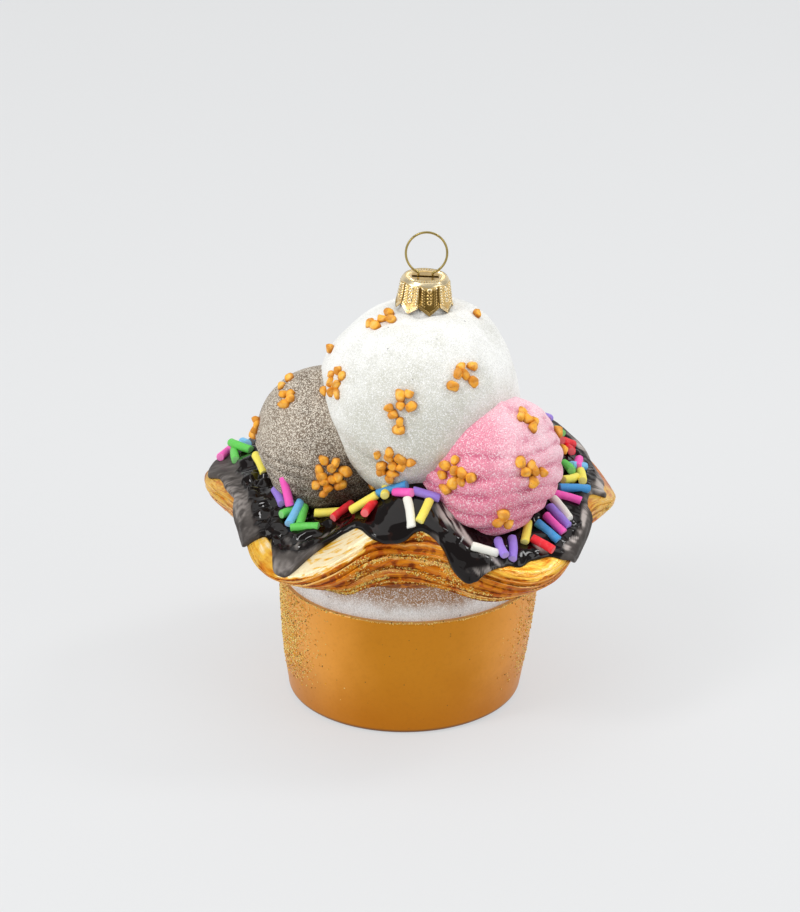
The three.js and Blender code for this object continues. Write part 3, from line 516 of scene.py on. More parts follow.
def layer_place(azimuth, reach):
    """How many layers of pastry lie below a place, counted from the hem, with the part of its own layer."""
    azimuth, reach = matched(azimuth, reach)
    wander = 0.016 * lattice_noise(round_point(azimuth, 0 * reach), 3.0, 4)
    lines = [line + wander + 0.034 * lattice_noise(round_point(azimuth, index), 6.0, 40 + index)
             for index, line in enumerate(round_table(LAYER_LINES, azimuth)[::-1])]
    bounds = [np.full(azimuth.shape, -1.0), *lines, lines[-1] + TOP_LAYER_REACH]
    return sum(np.clip((reach - low) / np.maximum(high - low, 0.02), 0, 1)
               for low, high in zip(bounds, bounds[1:]))


def layer_relief(azimuth, reach):
    """Depth of the layers: each leans out from its foot to a lip, with streaks along it, and hollows."""
    azimuth, reach = matched(azimuth, reach)
    place = layer_place(azimuth, reach)
    part = np.where(place >= LAYERS, 1.0, place % 1)
    rise = 0.2 + 0.8 * smooth_step(0, 0.72, part) - 0.12 * smooth_step(0.84, 0.99, part) * (place < LAYERS)
    _, hem_height, _, bend_height, _ = fold_at(azimuth)
    depth = np.clip(0.075 * (bend_height - hem_height), 0.35, 1.0)
    depth = depth * (0.85 + 0.5 * lattice_noise(round_point(azimuth, np.floor(place) / 4), 6.0, 6))
    fade = smooth_step(-1.0, -0.95, reach)
    along = round_point(azimuth, 0 * reach)
    along[..., 2] = 6 * place
    streaks = -np.abs(lattice_noise(along, (7, 7, 1.6), 3)) * (place < LAYERS - 0.1)
    lumps = lattice_noise(round_point(azimuth, reach), (6, 6, 5), 5)
    relief = fade * (depth * (rise - 1) + 0.22 * streaks + 0.26 * lumps)
    for centre, level, wide, tall, deep in HOLLOWS:
        away = away_from(azimuth, centre) / wide
        relief = relief - deep * np.exp(-(away ** 2 + ((reach - level) / tall) ** 2) ** 2)
    return relief


def cream_share(azimuth, reach):
    """How pale the pastry's rolled edge is, partly pale paint and partly a painted highlight: the edge's pale
    flanks end below in feathers.
    """
    low, strength = round_table(PALE_EDGE, azimuth)
    place = round_point(azimuth, reach)
    feather = 0.1 * lattice_noise(place, (2.2, 2.2, 3.0), 8) + 0.05 * lattice_noise(place, 0.9, 9)
    return strength * smooth_step(low - 0.05, low + 0.06, reach + feather)


def drip_reach(azimuth):
    """The chocolate's edge: straight between its rows, then softened over two degrees to each side."""
    first = DRIP_EDGE[0, 0]
    steps = np.arange(first, first + 360.01, DRIP_STEP)
    rows = np.vstack([DRIP_EDGE, (first + 360, DRIP_EDGE[0, 1])])
    sharp = np.interp(steps, rows[:, 0], rows[:, 1])[:-1]
    window = np.exp(-((np.arange(-DRIP_WINDOW, DRIP_WINDOW + 1) / DRIP_SOFTNESS) ** 2))
    padded = np.concatenate([sharp[-DRIP_WINDOW:], sharp, sharp[:DRIP_WINDOW]])
    soft = np.convolve(padded, window / window.sum(), mode="valid")
    turn = (np.asarray(azimuth, float) - first) % 360
    return np.interp(turn, np.arange(len(soft) + 1) * DRIP_STEP, np.append(soft, soft[0]))


def second_pour(azimuth, reach):
    """The second, wetter pour of chocolate, 0 outside its ragged edge and 1 inside, and its lumpiness."""
    edge, lumpy = round_table(POUR_EDGE, azimuth)
    place = round_point(azimuth, reach)
    ragged = 0.045 * lattice_noise(place, 2.6, 14) + 0.02 * lattice_noise(place, 1.1, 15)
    return smooth_step(edge - 0.03, edge + 0.03, reach + ragged), lumpy


def stroke_share(azimuth, reach):
    """How much pale painted sheen the chocolate has: broken hatching inside each brushed stroke, and a faint
    painted sheen where it is satin.
    """
    azimuth, reach = matched(azimuth, reach)
    place = round_point(azimuth, reach)
    slanted = place + np.array([0.5, 0.3, 0]) * place[..., 2:]
    hatch = 0.6 * lattice_noise(slanted, (0.5, 0.5, 5), 16) + 0.4 * lattice_noise(slanted, (1.1, 1.1, 4), 17)
    patch = lattice_noise(place, 2.4, 18)
    share = 0
    for stroke in STROKES:
        rows = np.array(stroke)
        turn = (azimuth - rows[0, 0] + 20) % 360 + rows[0, 0] - 20
        centre, width, strength = (np.interp(turn, rows[:, 0], rows[:, column]) for column in (1, 2, 3))
        inside = np.exp(-(((reach - centre) / width) ** 4))
        share = share + strength * inside * ((turn >= rows[0, 0]) & (turn <= rows[-1, 0]))
    # Pale painted sheen along the brushed strokes.
    brushed = share * smooth_step(-0.5, 0.45, hatch + 0.4 * patch)
    pour, _ = second_pour(azimuth, reach)
    # Faint painted sheen where the enamel is satin, outside the second pour.
    satin = (1 - pour) * (0.24 + 0.08 * smooth_step(0, 0.6, hatch) + 0.06 * patch)
    return np.clip(brushed + satin, 0, 1)


def coat_height(azimuth, reach, edge, thickness):
    """Height of the chocolate: rounded and swollen at its edge, with creased lumps on the second pour."""
    away = REACH_LENGTH * (reach - edge)
    rounded = np.sqrt(1 - (1 - np.clip(away / 0.9, 0, 1)) ** 2)
    swell = 0.45 * np.exp(-(((away - 1.3) / 1.1) ** 2))
    flat = on_brim(azimuth, reach, 0)
    pour, lumpy = second_pour(azimuth, reach)
    lumps = np.abs(lattice_noise(flat, 3.0, 11)) + 0.28 * np.abs(lattice_noise(flat, 1.5, 12))
    bead = 4 * pour * (1 - pour)
    wet = pour * lumpy * (1.6 * lumps - 0.25) + 0.35 * bead * lumpy
    folds = 0.1 * lattice_noise(flat, 4.0, 19) + 0.04 * lattice_noise(flat, 1.2, 13)
    return thickness * rounded * (1 + swell) + rounded * (wet + folds)


# --- The scoops ------------------------------------------------------------------------------------


def scoop_relief(name, azimuth, elevation):
    """Folds on a scoop, over its plain ball: round-topped folds with sharp creases, fading in and out."""
    toward = direction(azimuth, elevation)
    around, up = np.radians(azimuth), np.radians(elevation)
    drift = lattice_noise(toward, 0.55, 21)
    if name == "pink":
        sweep = 1.9 * np.sin(around + 0.75) + 0.8 * np.sin(2 * around) + 1.7 * drift
        fold = np.abs(np.cos(11.5 * up + sweep)) - 0.64
        depth = np.clip(0.7 + 0.8 * lattice_noise(toward, 0.4, 22), 0.3, 1.1)
        strength = smooth_step(52, 10, elevation) * depth
        return 0.95 * fold * strength + 0.25 * lattice_noise(toward, 0.22, 23)
    if name == "brown":
        fold = np.abs(np.cos(19 * up + 1.6 * np.sin(around) + 2.2 * drift)) - 0.64
        strength = smooth_step(12, -4, elevation) * (0.7 + 0.5 * lattice_noise(toward, 0.5, 24))
        return 0.6 * fold * strength + 0.15 * lattice_noise(toward, 0.2, 25)
    fold = np.abs(np.cos(4.2 * up + 1.5 * around + 1.1 * drift)) - 0.64
    strength = smooth_step(8, -12, elevation) * (0.6 + 0.6 * lattice_noise(toward, 0.5, 26))
    fold = 1.1 * fold * strength
    return fold + 0.5 * lattice_noise(toward, 0.38, 27) + 0.12 * lattice_noise(toward, 0.15, 28)


def on_scoop(name, azimuth, elevation, height=0.0, relief=True):
    """A ball with soft lumps, swells and folds, drawn out at the back, the white one dented at the neck."""
    azimuth, elevation = matched(azimuth, elevation)
    centre, radius, drawn_out = SCOOPS[name]
    toward = direction(azimuth, elevation)
    lumps = 0.25 * np.sin(np.radians(3 * azimuth + 50)) * np.cos(np.radians(2 * elevation))
    reach = radius + lumps + height
    for swell_azimuth, swell_elevation, swell, width in SWELLS[name]:
        angle = np.degrees(np.arccos(np.clip(toward @ direction(swell_azimuth, swell_elevation), -1, 1)))
        reach = reach + swell * np.exp(-((angle / width) ** 2))
    if relief:
        reach = reach + scoop_relief(name, azimuth, elevation)
    if name == "white":
        reach = reach - NECK_DENT * np.exp(-(((90 - elevation) / NECK_DENT_ANGLE) ** 2))
    stretch = np.where(toward[..., 1:2] > 0, (1.0, drawn_out, 1.0), 1.0)
    points = np.array(centre) + reach[..., None] * toward * stretch
    if name == "white":
        away = np.hypot(points[..., 0] - NECK_PLACE[0], points[..., 1] - NECK_PLACE[1])
        collar = smooth_step(COLLAR_RADIUS, COLLAR_RADIUS - 0.4, away)
        points[..., 2] += COLLAR_HEIGHT * collar * (elevation > 0)
    return points


# --- Meshes ----------------------------------------------------------------------------------------


def skin_faces(rows, columns):
    """Faces of a closed skin: a first pole, rings from it outward, and a last pole, wound to face out."""
    low = 1 + np.arange(rows - 1)[:, None] * columns
    column = np.arange(columns)
    following = (column + 1) % columns
    quads = np.stack([low + column, low + following, low + columns + following, low + columns + column], -1)
    last = 1 + rows * columns
    first_fan = np.stack([np.zeros(columns, int), 1 + following, 1 + column], -1)
    top = last - columns
    last_fan = np.stack([top + column, top + following, np.full(columns, last)], -1)
    return quads.reshape(-1, 4), np.vstack([first_fan, last_fan])


def closed_skin(rings, first_pole, last_pole):
    """Points, quads and triangles of one closed skin; rings are an array of rows, columns and three axes."""
    rings = np.asarray(rings, float)
    points = np.vstack([np.reshape(first_pole, (1, 3)), rings.reshape(-1, 3), np.reshape(last_pole, (1, 3))])
    return points, *skin_faces(*rings.shape[:2])


def many_skins(rings, first_poles, last_poles):
    """The same for many like pieces at once: rings are pieces, rows, columns and three axes."""
    count, rows, columns = rings.shape[:3]
    points = np.concatenate([first_poles[:, None], rings.reshape(count, -1, 3), last_poles[:, None]], 1)
    quads, triangles = skin_faces(rows, columns)
    step = np.arange(count)[:, None, None] * points.shape[1]
    return points.reshape(-1, 3), (quads + step).reshape(-1, 4), (triangles + step).reshape(-1, 3)


def add_piece(name, skin, material, node="glass_body", fields=None):
    """Makes one smooth mesh piece from points in millimetres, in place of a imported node."""
    points, quads, triangles = skin
    mesh = bpy.data.meshes.new(name)
    mesh.from_pydata((points * MM).tolist(), [], quads.tolist() + triangles.tolist())
    mesh.shade_smooth()
    for field, values in (fields or {}).items():
        stored = mesh.attributes.new(field, "FLOAT", "POINT")
        stored.data.foreach_set("value", np.ravel(values).astype(np.float32))
    mesh.materials.append(material)
    mesh.validate()
    piece = bpy.data.objects.new(name, mesh)
    bpy.context.scene.collection.objects.link(piece)
    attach(piece, "root")
    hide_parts(node)


def with_poles(values, first, last):
    """Values of a skin's points, with one for each pole."""
    return np.concatenate([[first], np.ravel(values), [last]])


def face_values(hidden, values, first, last):
    """The same for a skin whose first rows are hidden and get zero."""
    return with_poles(np.concatenate([np.zeros(hidden.shape[:2]), values]), first, last)


# --- Shader expressions ----------------------------------------------------------------------------


class Signal:
    """A shader socket in an expression; each operator adds the Math node that it needs."""

    def __init__(self, finish, socket):
        self.finish = finish
        self.socket = socket

    def _math(self, operation, *values):
        return self.finish.node("ShaderNodeMath", {"operation": operation}, dict(enumerate(values)))

    def __add__(self, other):
        return self._math("ADD", self, other)

    def __sub__(self, other):
        return self._math("SUBTRACT", self, other)

    def __mul__(self, other):
        return self._math("MULTIPLY", self, other)

    def __rsub__(self, other):
        return self._math("SUBTRACT", other, self)

    __radd__ = __add__
    __rmul__ = __mul__

    def step(self, low, high):
        """0 below low, 1 above high, and an even S curve between them."""
        return self.finish.node(
            "ShaderNodeMapRange",
            {"interpolation_type": "SMOOTHSTEP"},
            {"Value": self, "From Min": low, "From Max": high},
        )

    def fraction(self):
        """The part past the whole number below."""
        return self._math("FRACT", self)

    def core(self, low, high):
        """For a signal of grains: 1 at the middle of each and 0 past a distance from it."""
        return 1 - Signal(self.finish, self.socket.node.outputs["Distance"]).step(low, high)


class Finish:
    """A material under construction: one Principled surface and the nodes that feed it."""

    def __init__(self, name, **settings):
        self.material = bpy.data.materials.new(name)
        self.material.use_nodes = True
        self.tree = self.material.node_tree
        self.shader = next(n for n in self.tree.nodes if n.type == "BSDF_PRINCIPLED")
        self.set(**settings)

    def node(self, kind, settings=None, values=None, output=0):
        """Adds a node: its settings come first, then the values or links of its sockets."""
        node = self.tree.nodes.new(kind)
        for key, value in (settings or {}).items():
            setattr(node, key, value)
        for key, value in (values or {}).items():
            self.feed(node.inputs[key], value)
        return Signal(self, node.outputs[output])

    def feed(self, socket, value):
        """Links a signal to a socket or sets its value; a colour is a web code or three parts."""
        if isinstance(value, Signal):
            self.tree.links.new(value.socket, socket)
        elif socket.type == "RGBA":
            socket.default_value = (*(tint(value) if isinstance(value, str) else value), 1.0)
        else:
            socket.default_value = value

    def set(self, **values):
        """Sets or links sockets of the surface, with their names in lower case and joined by underscores."""
        named = {socket.name.lower().replace(" ", "_"): socket for socket in self.shader.inputs}
        for name, value in values.items():
            self.feed(named[name], value)

    def place(self, stretch=(1, 1, 1)):
        """Object coordinates in millimetres, each axis divided by its stretch."""
        coordinates = self.node("ShaderNodeTexCoord", output="Object")
        return self.vector("MULTIPLY", {0: coordinates, 1: tuple(1 / MM / value for value in stretch)})

    def field(self, name):
        """A number stored at the piece's points."""
        return self.node("ShaderNodeAttribute", {"attribute_name": name}, output="Fac")

    def noise(self, size, detail, place=None, warp=0.0):
        """Cloudy noise from 0 to 1 with lumps of a given size in millimetres."""
        values = {"Vector": place or self.place(), "Scale": 1 / size, "Detail": detail, "Distortion": warp}
        return self.node("ShaderNodeTexNoise", None, values)

    def grains(self, size, place=None):
        """Grains of a given size, each with a random colour, whose first part is a number from 0 to 1."""
        values = {"Vector": place or self.place(), "Scale": 1 / size}
        return self.node("ShaderNodeTexVoronoi", None, values, output="Color")

    def part(self, colour, index):
        """One of the three parts of a colour."""
        return self.node("ShaderNodeSeparateColor", None, {0: colour}, output=index)

    def mix(self, share, first, second):
        """A colour between two others."""
        return self.node("ShaderNodeMix", {"data_type": "RGBA"}, {0: share, 6: first, 7: second}, output=2)

    def layered(self, colour, *layers):
        """A colour under layers: each is a share and the colour that covers the rest by that share."""
        for share, cover in layers:
            colour = self.mix(share, colour, cover)
        return colour

    def vector(self, operation, values, output=0):
        """A Vector Math node."""
        return self.node("ShaderNodeVectorMath", {"operation": operation}, values, output)

    def bump(self, height, depth, strength=1.0):
        """A normal from a height signal of a given depth in millimetres."""
        values = {"Height": height, "Distance": depth * MM, "Strength": strength}
        return self.node("ShaderNodeBump", None, values)

    def tilted(self, colour, amount):
        """The surface's normal, tilted by each grain's random colour."""
        centred = self.vector("SUBTRACT", {0: colour, 1: (0.5, 0.5, 0.5)})
        tilt = self.vector("SCALE", {0: centred, "Scale": amount})
        normal = self.node("ShaderNodeNewGeometry", output="Normal")
        return self.vector("NORMALIZE", {0: self.vector("ADD", {0: normal, 1: tilt})})


def glitter_finish(name, base, shade, spark, sparks, size, specks, fade, crease=None, shade_dimming=0.0):
    """Lacquer under fine glitter: its body is painted lighter or darker toward one side as painted light and
    shade, with painted shade in the creases, and its round grains flash as painted glints or stay dark, and
    flash less where the fade's painted shade dims them."""
    finish = Finish(name, specular_ior_level=0.3)
    place = finish.place()
    shade = tint(shade)
    cloud = finish.noise(6.0, 4.0, place)
    # The fade is painted light and shade: toward one side the body takes a paler or darker colour.
    toward, low, high, painted_light_colour = fade
    along = finish.vector("DOT_PRODUCT", {0: place, 1: toward}, "Value")
    painted_light_share = (along + (cloud - 0.5) * (high - low)).step(low, high)
    lively = 1 - painted_light_share * shade_dimming
    body = finish.layered(base, (cloud.step(0.4, 0.7) * 0.6, shade), (painted_light_share, painted_light_colour))
    # Painted shade in the creases: the body darkens to the crease colour where the folds sink in.
    if crease is not None:
        deep, low, high = crease
        crease_shade = (finish.field("crease") + (finish.noise(1.2, 3.0, place) - 0.5) * 0.25).step(low, high)
        body = finish.mix(crease_shade * 0.7, body, deep)
    coarse = finish.grains(size, place)
    fine = finish.grains(size * 0.72, place)
    speck = finish.grains(0.9, place)
    # Flashing grains are painted glints mixed into the colour; the fade's painted shade dims them.
    flash = finish.part(coarse, 0).step(1 - sparks, 1 - 0.6 * sparks) * coarse.core(0.25, 0.55) * lively
    fine_flash = finish.part(fine, 1).step(1 - sparks, 1 - 0.5 * sparks) * lively
    dark = (1 - finish.part(speck, 0).step(0.0, specks)) * speck.core(0.2, 0.34)
    body = finish.layered(
        body,
        (finish.part(fine, 2).step(0.55, 0.8) * 0.28, scaled(shade, 0.45)),
        (fine_flash * 0.6, spark),
        (flash, spark),
        (dark * 0.75, scaled(shade, 0.12)),
    )
    finish.set(base_color=body, roughness=0.7 - flash * 0.4, normal=finish.tilted(coarse, 0.35))
    return finish.material


# --- Sizes and colours -----------------------------------------------------------------------------


def size_property(name, description, size):
    return FloatProperty(name=name, description=description, unit="LENGTH", default=size)


class SundaeSizes(bpy.types.PropertyGroup):
    """Sizes of the coat, the toppings and the wire."""

    coat: size_property("Coat", "Thickness of the chocolate", 0.0007)
    nut: size_property("Nut", "Mean radius of a nut chip", 0.00112)
    sprinkle: size_property("Sprinkle", "Radius of a tube sprinkle", 0.001)
    flake: size_property("Flake", "Radius of a glitter flake", 0.00019)
    wire: size_property("Wire", "Radius of the loop's wire", 0.00026)


def colour_property(name, description, code):
    return FloatVectorProperty(name=name, description=description, subtype="COLOR", default=tint(code))


class SundaeColours(bpy.types.PropertyGroup):
    """Colours of the lacquers, toppings and metal."""

    cup: colour_property("Cup", "Satin gold of the cup", "CC8414")
    # Deeper gold toward the foot: partly a deeper lacquer, partly painted shade.
    cup_low: colour_property("Cup foot", "Deeper gold near the foot", "C07200")
    band: colour_property("Band", "White band under the brim", "EFEDEA")
    amber: colour_property("Amber", "Main colour of the waffle", "DB8210")
    # Painted shade at the foot of each pastry layer.
    toast: colour_property("Recess shade", "Brown in the waffle's hollows", "7A3404")
    # Cream and yellow colour the rolled edge's flanks: partly pale paint, partly painted highlight.
    cream: colour_property("Cream", "Palest part of the waffle's edge", "FFEDC2")
    orange: colour_property("Orange", "Deeper patches of the waffle", "C05A06")
    gold: colour_property("Gold", "Golden streaks of the waffle", "EFA428")
    # Partly pale paint, partly painted highlight on the flanks.
    yellow: colour_property("Yellow", "Rim of the pale flanks", "F9C64C")
    chocolate: colour_property("Chocolate", "Dark chocolate", "0B0403")
    # Pale painted sheen where the brushed and satin chocolate catches the light.
    brushed: colour_property("Brushed chocolate", "Where the chocolate is brushed", "C0B7B1")
    white_scoop: colour_property("White scoop", "Lacquer of the white scoop", "F7F7F3")
    brown_scoop: colour_property("Brown scoop", "Lacquer of the brown scoop", "8E7F6E")
    pink_scoop: colour_property("Pink scoop", "Lacquer of the pink scoop", "EA8CA4")
    nut: colour_property("Nut", "Nut chips", "FFB83A")
    glitter: colour_property("Glitter", "Gold glitter flakes", "F6BC2E")
    metal: colour_property("Cap metal", "Stamped cap", "F3CE86")
    wire: colour_property("Wire metal", "Wire loop", "AE9A5C")


SPRINKLE_CODES = {
    "red": "F02A36", "yellow": "FAEA62", "green": "66CC58", "blue": "459BDA", "sky": "78C0EC",
    "purple": "9E80E0", "pink": "F85EBE", "white": "EFEEE4",
}


def sizes():
    """The sizes in millimetres, by name."""
    group = bpy.context.scene.sundae_sizes
    return {name: getattr(group, name) / MM for name in SundaeSizes.__annotations__}


def colours():
    """The colours by name."""
    group = bpy.context.scene.sundae_colours
    return {name: tuple(getattr(group, name)) for name in SundaeColours.__annotations__}


# --- Cup, band, waffle and chocolate ---------------------------------------------------------------


def lathe(profile, wobble=0.0):
    """A profile of radius and height turned about the axis, with a soft unevenness in its radius."""
    around = np.linspace(0, 2 * np.pi, LATHE_COLUMNS, endpoint=False)
    radius, height = np.asarray(profile, float).T
    circle = np.stack([np.cos(around), np.sin(around), 0 * around], -1)
    rings = radius[:, None, None] * circle + height[:, None, None] * np.array([0, 0, 1])
    return rings + wobble * lattice_noise(rings, 14.0, 31)[..., None] * circle


def cup_radius(rise):
    """Radius of the cup's wall, which tapers and swells a little, at a share of its height."""
    return FOOT_RADIUS + (RIM_RADIUS - FOOT_RADIUS) * rise + CUP_SWELL * np.sin(np.pi * rise)


def made_uneven(points, share):
    """Points of the cup moved in or out by soft noise, and leant."""
    wobble = share * CUP_UNEVENNESS * lattice_noise(points, 13.0, 31)
    points[..., :2] *= (1 + wobble / CUP_MEAN_RADIUS)[..., None]
    return lean(points)


def cup_skin():
    """The cup: a flat foot, a rounded corner, a tapered wall that swells a little, and a thin painted lip."""
    turn = np.radians(np.linspace(0, 90, 7))
    corner = np.stack([
        FOOT_RADIUS - FOOT_CORNER + FOOT_CORNER * np.sin(turn), FOOT_CORNER - FOOT_CORNER * np.cos(turn)], -1)
    rise = np.linspace(0.02, 1, 44)
    wall = np.stack([cup_radius(rise), FOOT_CORNER + (RIM_HEIGHT - FOOT_CORNER) * rise], -1)
    lip = np.array([(RIM_RADIUS - 0.1, 0.16), (RIM_RADIUS - 0.3, 0.24), (BAND_RADIUS - 1.2, 0)])
    foot = [(8, 0), (18, 0), (23, 0)]
    rings = lathe(np.vstack([foot, corner, wall, lip + (0, RIM_HEIGHT)]))
    rings = made_uneven(rings, smooth_step(0.5, 4, rings[..., 2]))
    return closed_skin(rings, lean((0, 0, 0)), lean((0, 0, RIM_HEIGHT - 2)))


def band_skin():
    """The white band: from just inside the cup's lip up to the underside of the brim."""
    rise = np.linspace(0, 1, 24)
    low, high = RIM_HEIGHT - 0.6, BAND_TOP + 0.7
    foot_radius = RIM_RADIUS - BAND_INSET
    radius = foot_radius + (BAND_RADIUS - foot_radius) * rise - BAND_WAIST * np.sin(np.pi * rise)
    rings = lathe(np.stack([radius, low + (high - low) * rise], -1), 0.15)
    return closed_skin(lean(rings), lean((0, 0, RIM_HEIGHT - 1)), lean((0, 0, BAND_TOP + 1)))


def waffle_skin():
    """The brim: its underside out from the band, the layered face up to the bend, and a hidden top."""
    azimuth = np.linspace(0, 360, WAFFLE_COLUMNS, endpoint=False)
    under = np.linspace(0, 1, 8, endpoint=False)[:, None]
    reach = np.concatenate([np.linspace(-1, 0.12, 108), np.linspace(0.15, 0.62, 18)])[:, None]
    hem = on_brim(azimuth, -1.0, 0)
    band = turned(BAND_RADIUS, azimuth, BAND_TOP)
    underside = band + (hem - band) * under[..., None]
    underside[..., 2] += UNDERSIDE_SAG * np.sin(np.pi * under)
    azimuth, reach = np.broadcast_arrays(azimuth, reach)
    relief = layer_relief(azimuth, reach) * (reach > -1)
    face = on_brim(azimuth, reach, relief)
    rings = lean(np.concatenate([underside, face]))
    fields = {
        "layer": face_values(underside, layer_place(azimuth, reach), 0, LAYERS),
        "cream": face_values(underside, cream_share(azimuth, reach), 0, 0),
        "relief": face_values(underside, relief, 0, 0),
        "rise": face_values(underside, reach, 0, 1),
    }
    return closed_skin(rings, lean((0, 0, BAND_TOP)), lean((0, 0, 52))), fields


def chocolate_skin(thickness):
    """The coat: out along its underside to the drip edge, round the edge, and back over the lumpy top."""
    azimuth = np.linspace(0, 360, COAT_COLUMNS, endpoint=False)
    edge = drip_reach(azimuth)
    top_share = np.concatenate([np.linspace(0, 0.12, 14) ** 1.3, np.linspace(0.09, 1, 58)[1:]])[:, None]
    under_share = np.linspace(1, 0, 6)[:, None]
    under = on_brim(azimuth, edge + 0.012 + under_share * (COAT_END - edge), COAT_UNDERSIDE)
    reach = edge + top_share * (COAT_END - edge)
    azimuth, reach = np.broadcast_arrays(azimuth, reach)
    top = on_brim(azimuth, reach, coat_height(azimuth, reach, edge, thickness))
    rings = lean(np.concatenate([under, top]))
    fields = {
        "wet": face_values(under, second_pour(azimuth, reach)[0], 1, 1),
        "stroke": face_values(under, stroke_share(azimuth, reach), 0, 0),
    }
    return closed_skin(rings, lean((0, 0, 56)), lean((0, 0, 60))), fields


def scoop_skin(name):
    """A scoop from its hidden foot to its crown, with the depth of its creases."""
    columns, rows = SCOOP_GRID
    azimuth = np.linspace(0, 360, columns, endpoint=False)
    elevation = np.linspace(-90, 90, rows + 2)[1:-1, None]
    azimuth, elevation = np.broadcast_arrays(azimuth, elevation)
    rings = on_scoop(name, azimuth, elevation)
    poles = [on_scoop(name, 0.0, side) for side in (-90.0, 90.0)]
    crease = -scoop_relief(name, azimuth, elevation)
    return closed_skin(lean(rings), lean(poles[0]), lean(poles[1])), {"crease": with_poles(crease, 0, 0)}


# --- Toppings --------------------------------------------------------------------------------------


def nut_places():
    """Centres of the nut chips and their outward directions: clusters in view, then those at the back."""
    spots = [(name, azimuth, elevation) for name, rows in NUTS.items() for azimuth, elevation in rows]
    for name, azimuth, elevation in BACK_CLUSTERS:
        for index in range(BACK_CHIPS):
            angle = np.pi / 2 * index + scatter(len(spots))
            spread = BACK_SPREAD * (0.5 + 0.7 * scatter(len(spots) + 0.5))
            spots.append((name, azimuth + spread * np.cos(angle), elevation + spread * np.sin(angle)))
        for index in range(int(1 + 2.5 * scatter(azimuth))):
            spots.append((name, azimuth + 5 * scatter(azimuth + index) - 2, elevation - 3 + 5 * index))
    places = [on_scoop(*spot, NUT_HEIGHT, relief=False) for spot in spots]
    return lean(places), np.array([direction(azimuth, elevation) for _, azimuth, elevation in spots])


def nut_skins(places, outward, radius):
    """Chips of nut: each is the space within fourteen tilted planes, its edges rounded by a power mean."""
    draw = np.random.default_rng(7)
    count = len(places)
    elevation = np.linspace(-90, 90, NUT_ROWS + 2)[1:-1, None]
    toward = direction(np.linspace(0, 360, NUT_COLUMNS, endpoint=False), elevation)
    toward = np.concatenate([toward.reshape(-1, 3), [(0, 0, -1), (0, 0, 1)]])
    box = np.repeat([np.vstack([np.eye(3), -np.eye(3)])], count, 0)
    planes = np.concatenate([box, unit(draw.normal(size=(count, NUT_PLANES, 3)))], 1)
    planes = unit(planes + 0.32 * draw.normal(size=planes.shape))
    offsets = draw.uniform(0.8, 1.08, planes.shape[:2])
    facing = np.maximum(np.einsum("dk,npk->ndp", toward, planes) / offsets[:, None], 0)
    reach = (np.sum(facing ** NUT_SHARPNESS, -1) + NUT_REACH ** -NUT_SHARPNESS) ** (-1 / NUT_SHARPNESS)
    chips = reach[..., None] * toward * NUT_STRETCH
    axes, _ = np.linalg.qr(draw.normal(size=(count, 3, 3)))
    axes *= np.linalg.det(axes)[:, None, None]
    size = radius * draw.uniform(0.85, 1.15, count)
    chips = np.einsum("nij,ndj->ndi", axes, chips) * size[:, None, None] + places[:, None]
    rings = chips[:, :-2].reshape(count, NUT_ROWS, NUT_COLUMNS, 3)
    shade = np.repeat(draw.uniform(size=count), NUT_ROWS * NUT_COLUMNS + 2)
    out = np.concatenate([chips[:, -2:-1], chips[:, :-2], chips[:, -1:]], 1) - places[:, None]
    bulge = np.linalg.norm(out, axis=-1) / size[:, None]
    # Where the chip faces into the scoop, for painted shade underneath.
    sunk = smooth_step(0.4, -0.3, np.einsum("ndi,ni->nd", out, outward) / size[:, None])
    return many_skins(rings, chips[:, -2], chips[:, -1]), {"shade": shade, "bulge": bulge, "sunk": sunk}


def back_sprinkles():
    """The back of the coat is strewn by a rule: even steps, a spread of reaches, a turn more each time."""
    rule = BACK_SPRINKLES
    names = ("red", "yellow", "green", "pink", "blue", "white", "purple", "sky")
    azimuths = np.arange(rule["first"], rule["last"] + 1e-6, rule["step"])
    rows = []
    for index, azimuth in enumerate(azimuths):
        reach = rule["near"] + rule["spread"] * scatter(index + 7)
        angle = np.radians(rule["turn"] * index)
        across, along = rule["arc"] / 2 * np.cos(angle), rule["rise"] * np.sin(angle)
        name = names[index % len(names)]
        rows.append((name, azimuth - across, reach - along, 0, azimuth + across, reach + along, 0))
    return rows


def sprinkle_ends(radius):
    """Colour and two ends of each sprinkle, which rests a little sunk in the coat."""
    rows = SPRINKLES + back_sprinkles()
    numbers = np.array([row[1:] for row in rows], float).reshape(-1, 2, 3)
    ends = on_brim(numbers[..., 0], numbers[..., 1], SPRINKLE_SEAT + radius - SPRINKLE_SINK)
    ends[..., 2] += numbers[..., 2]
    return np.array([row[0] for row in rows]), ends


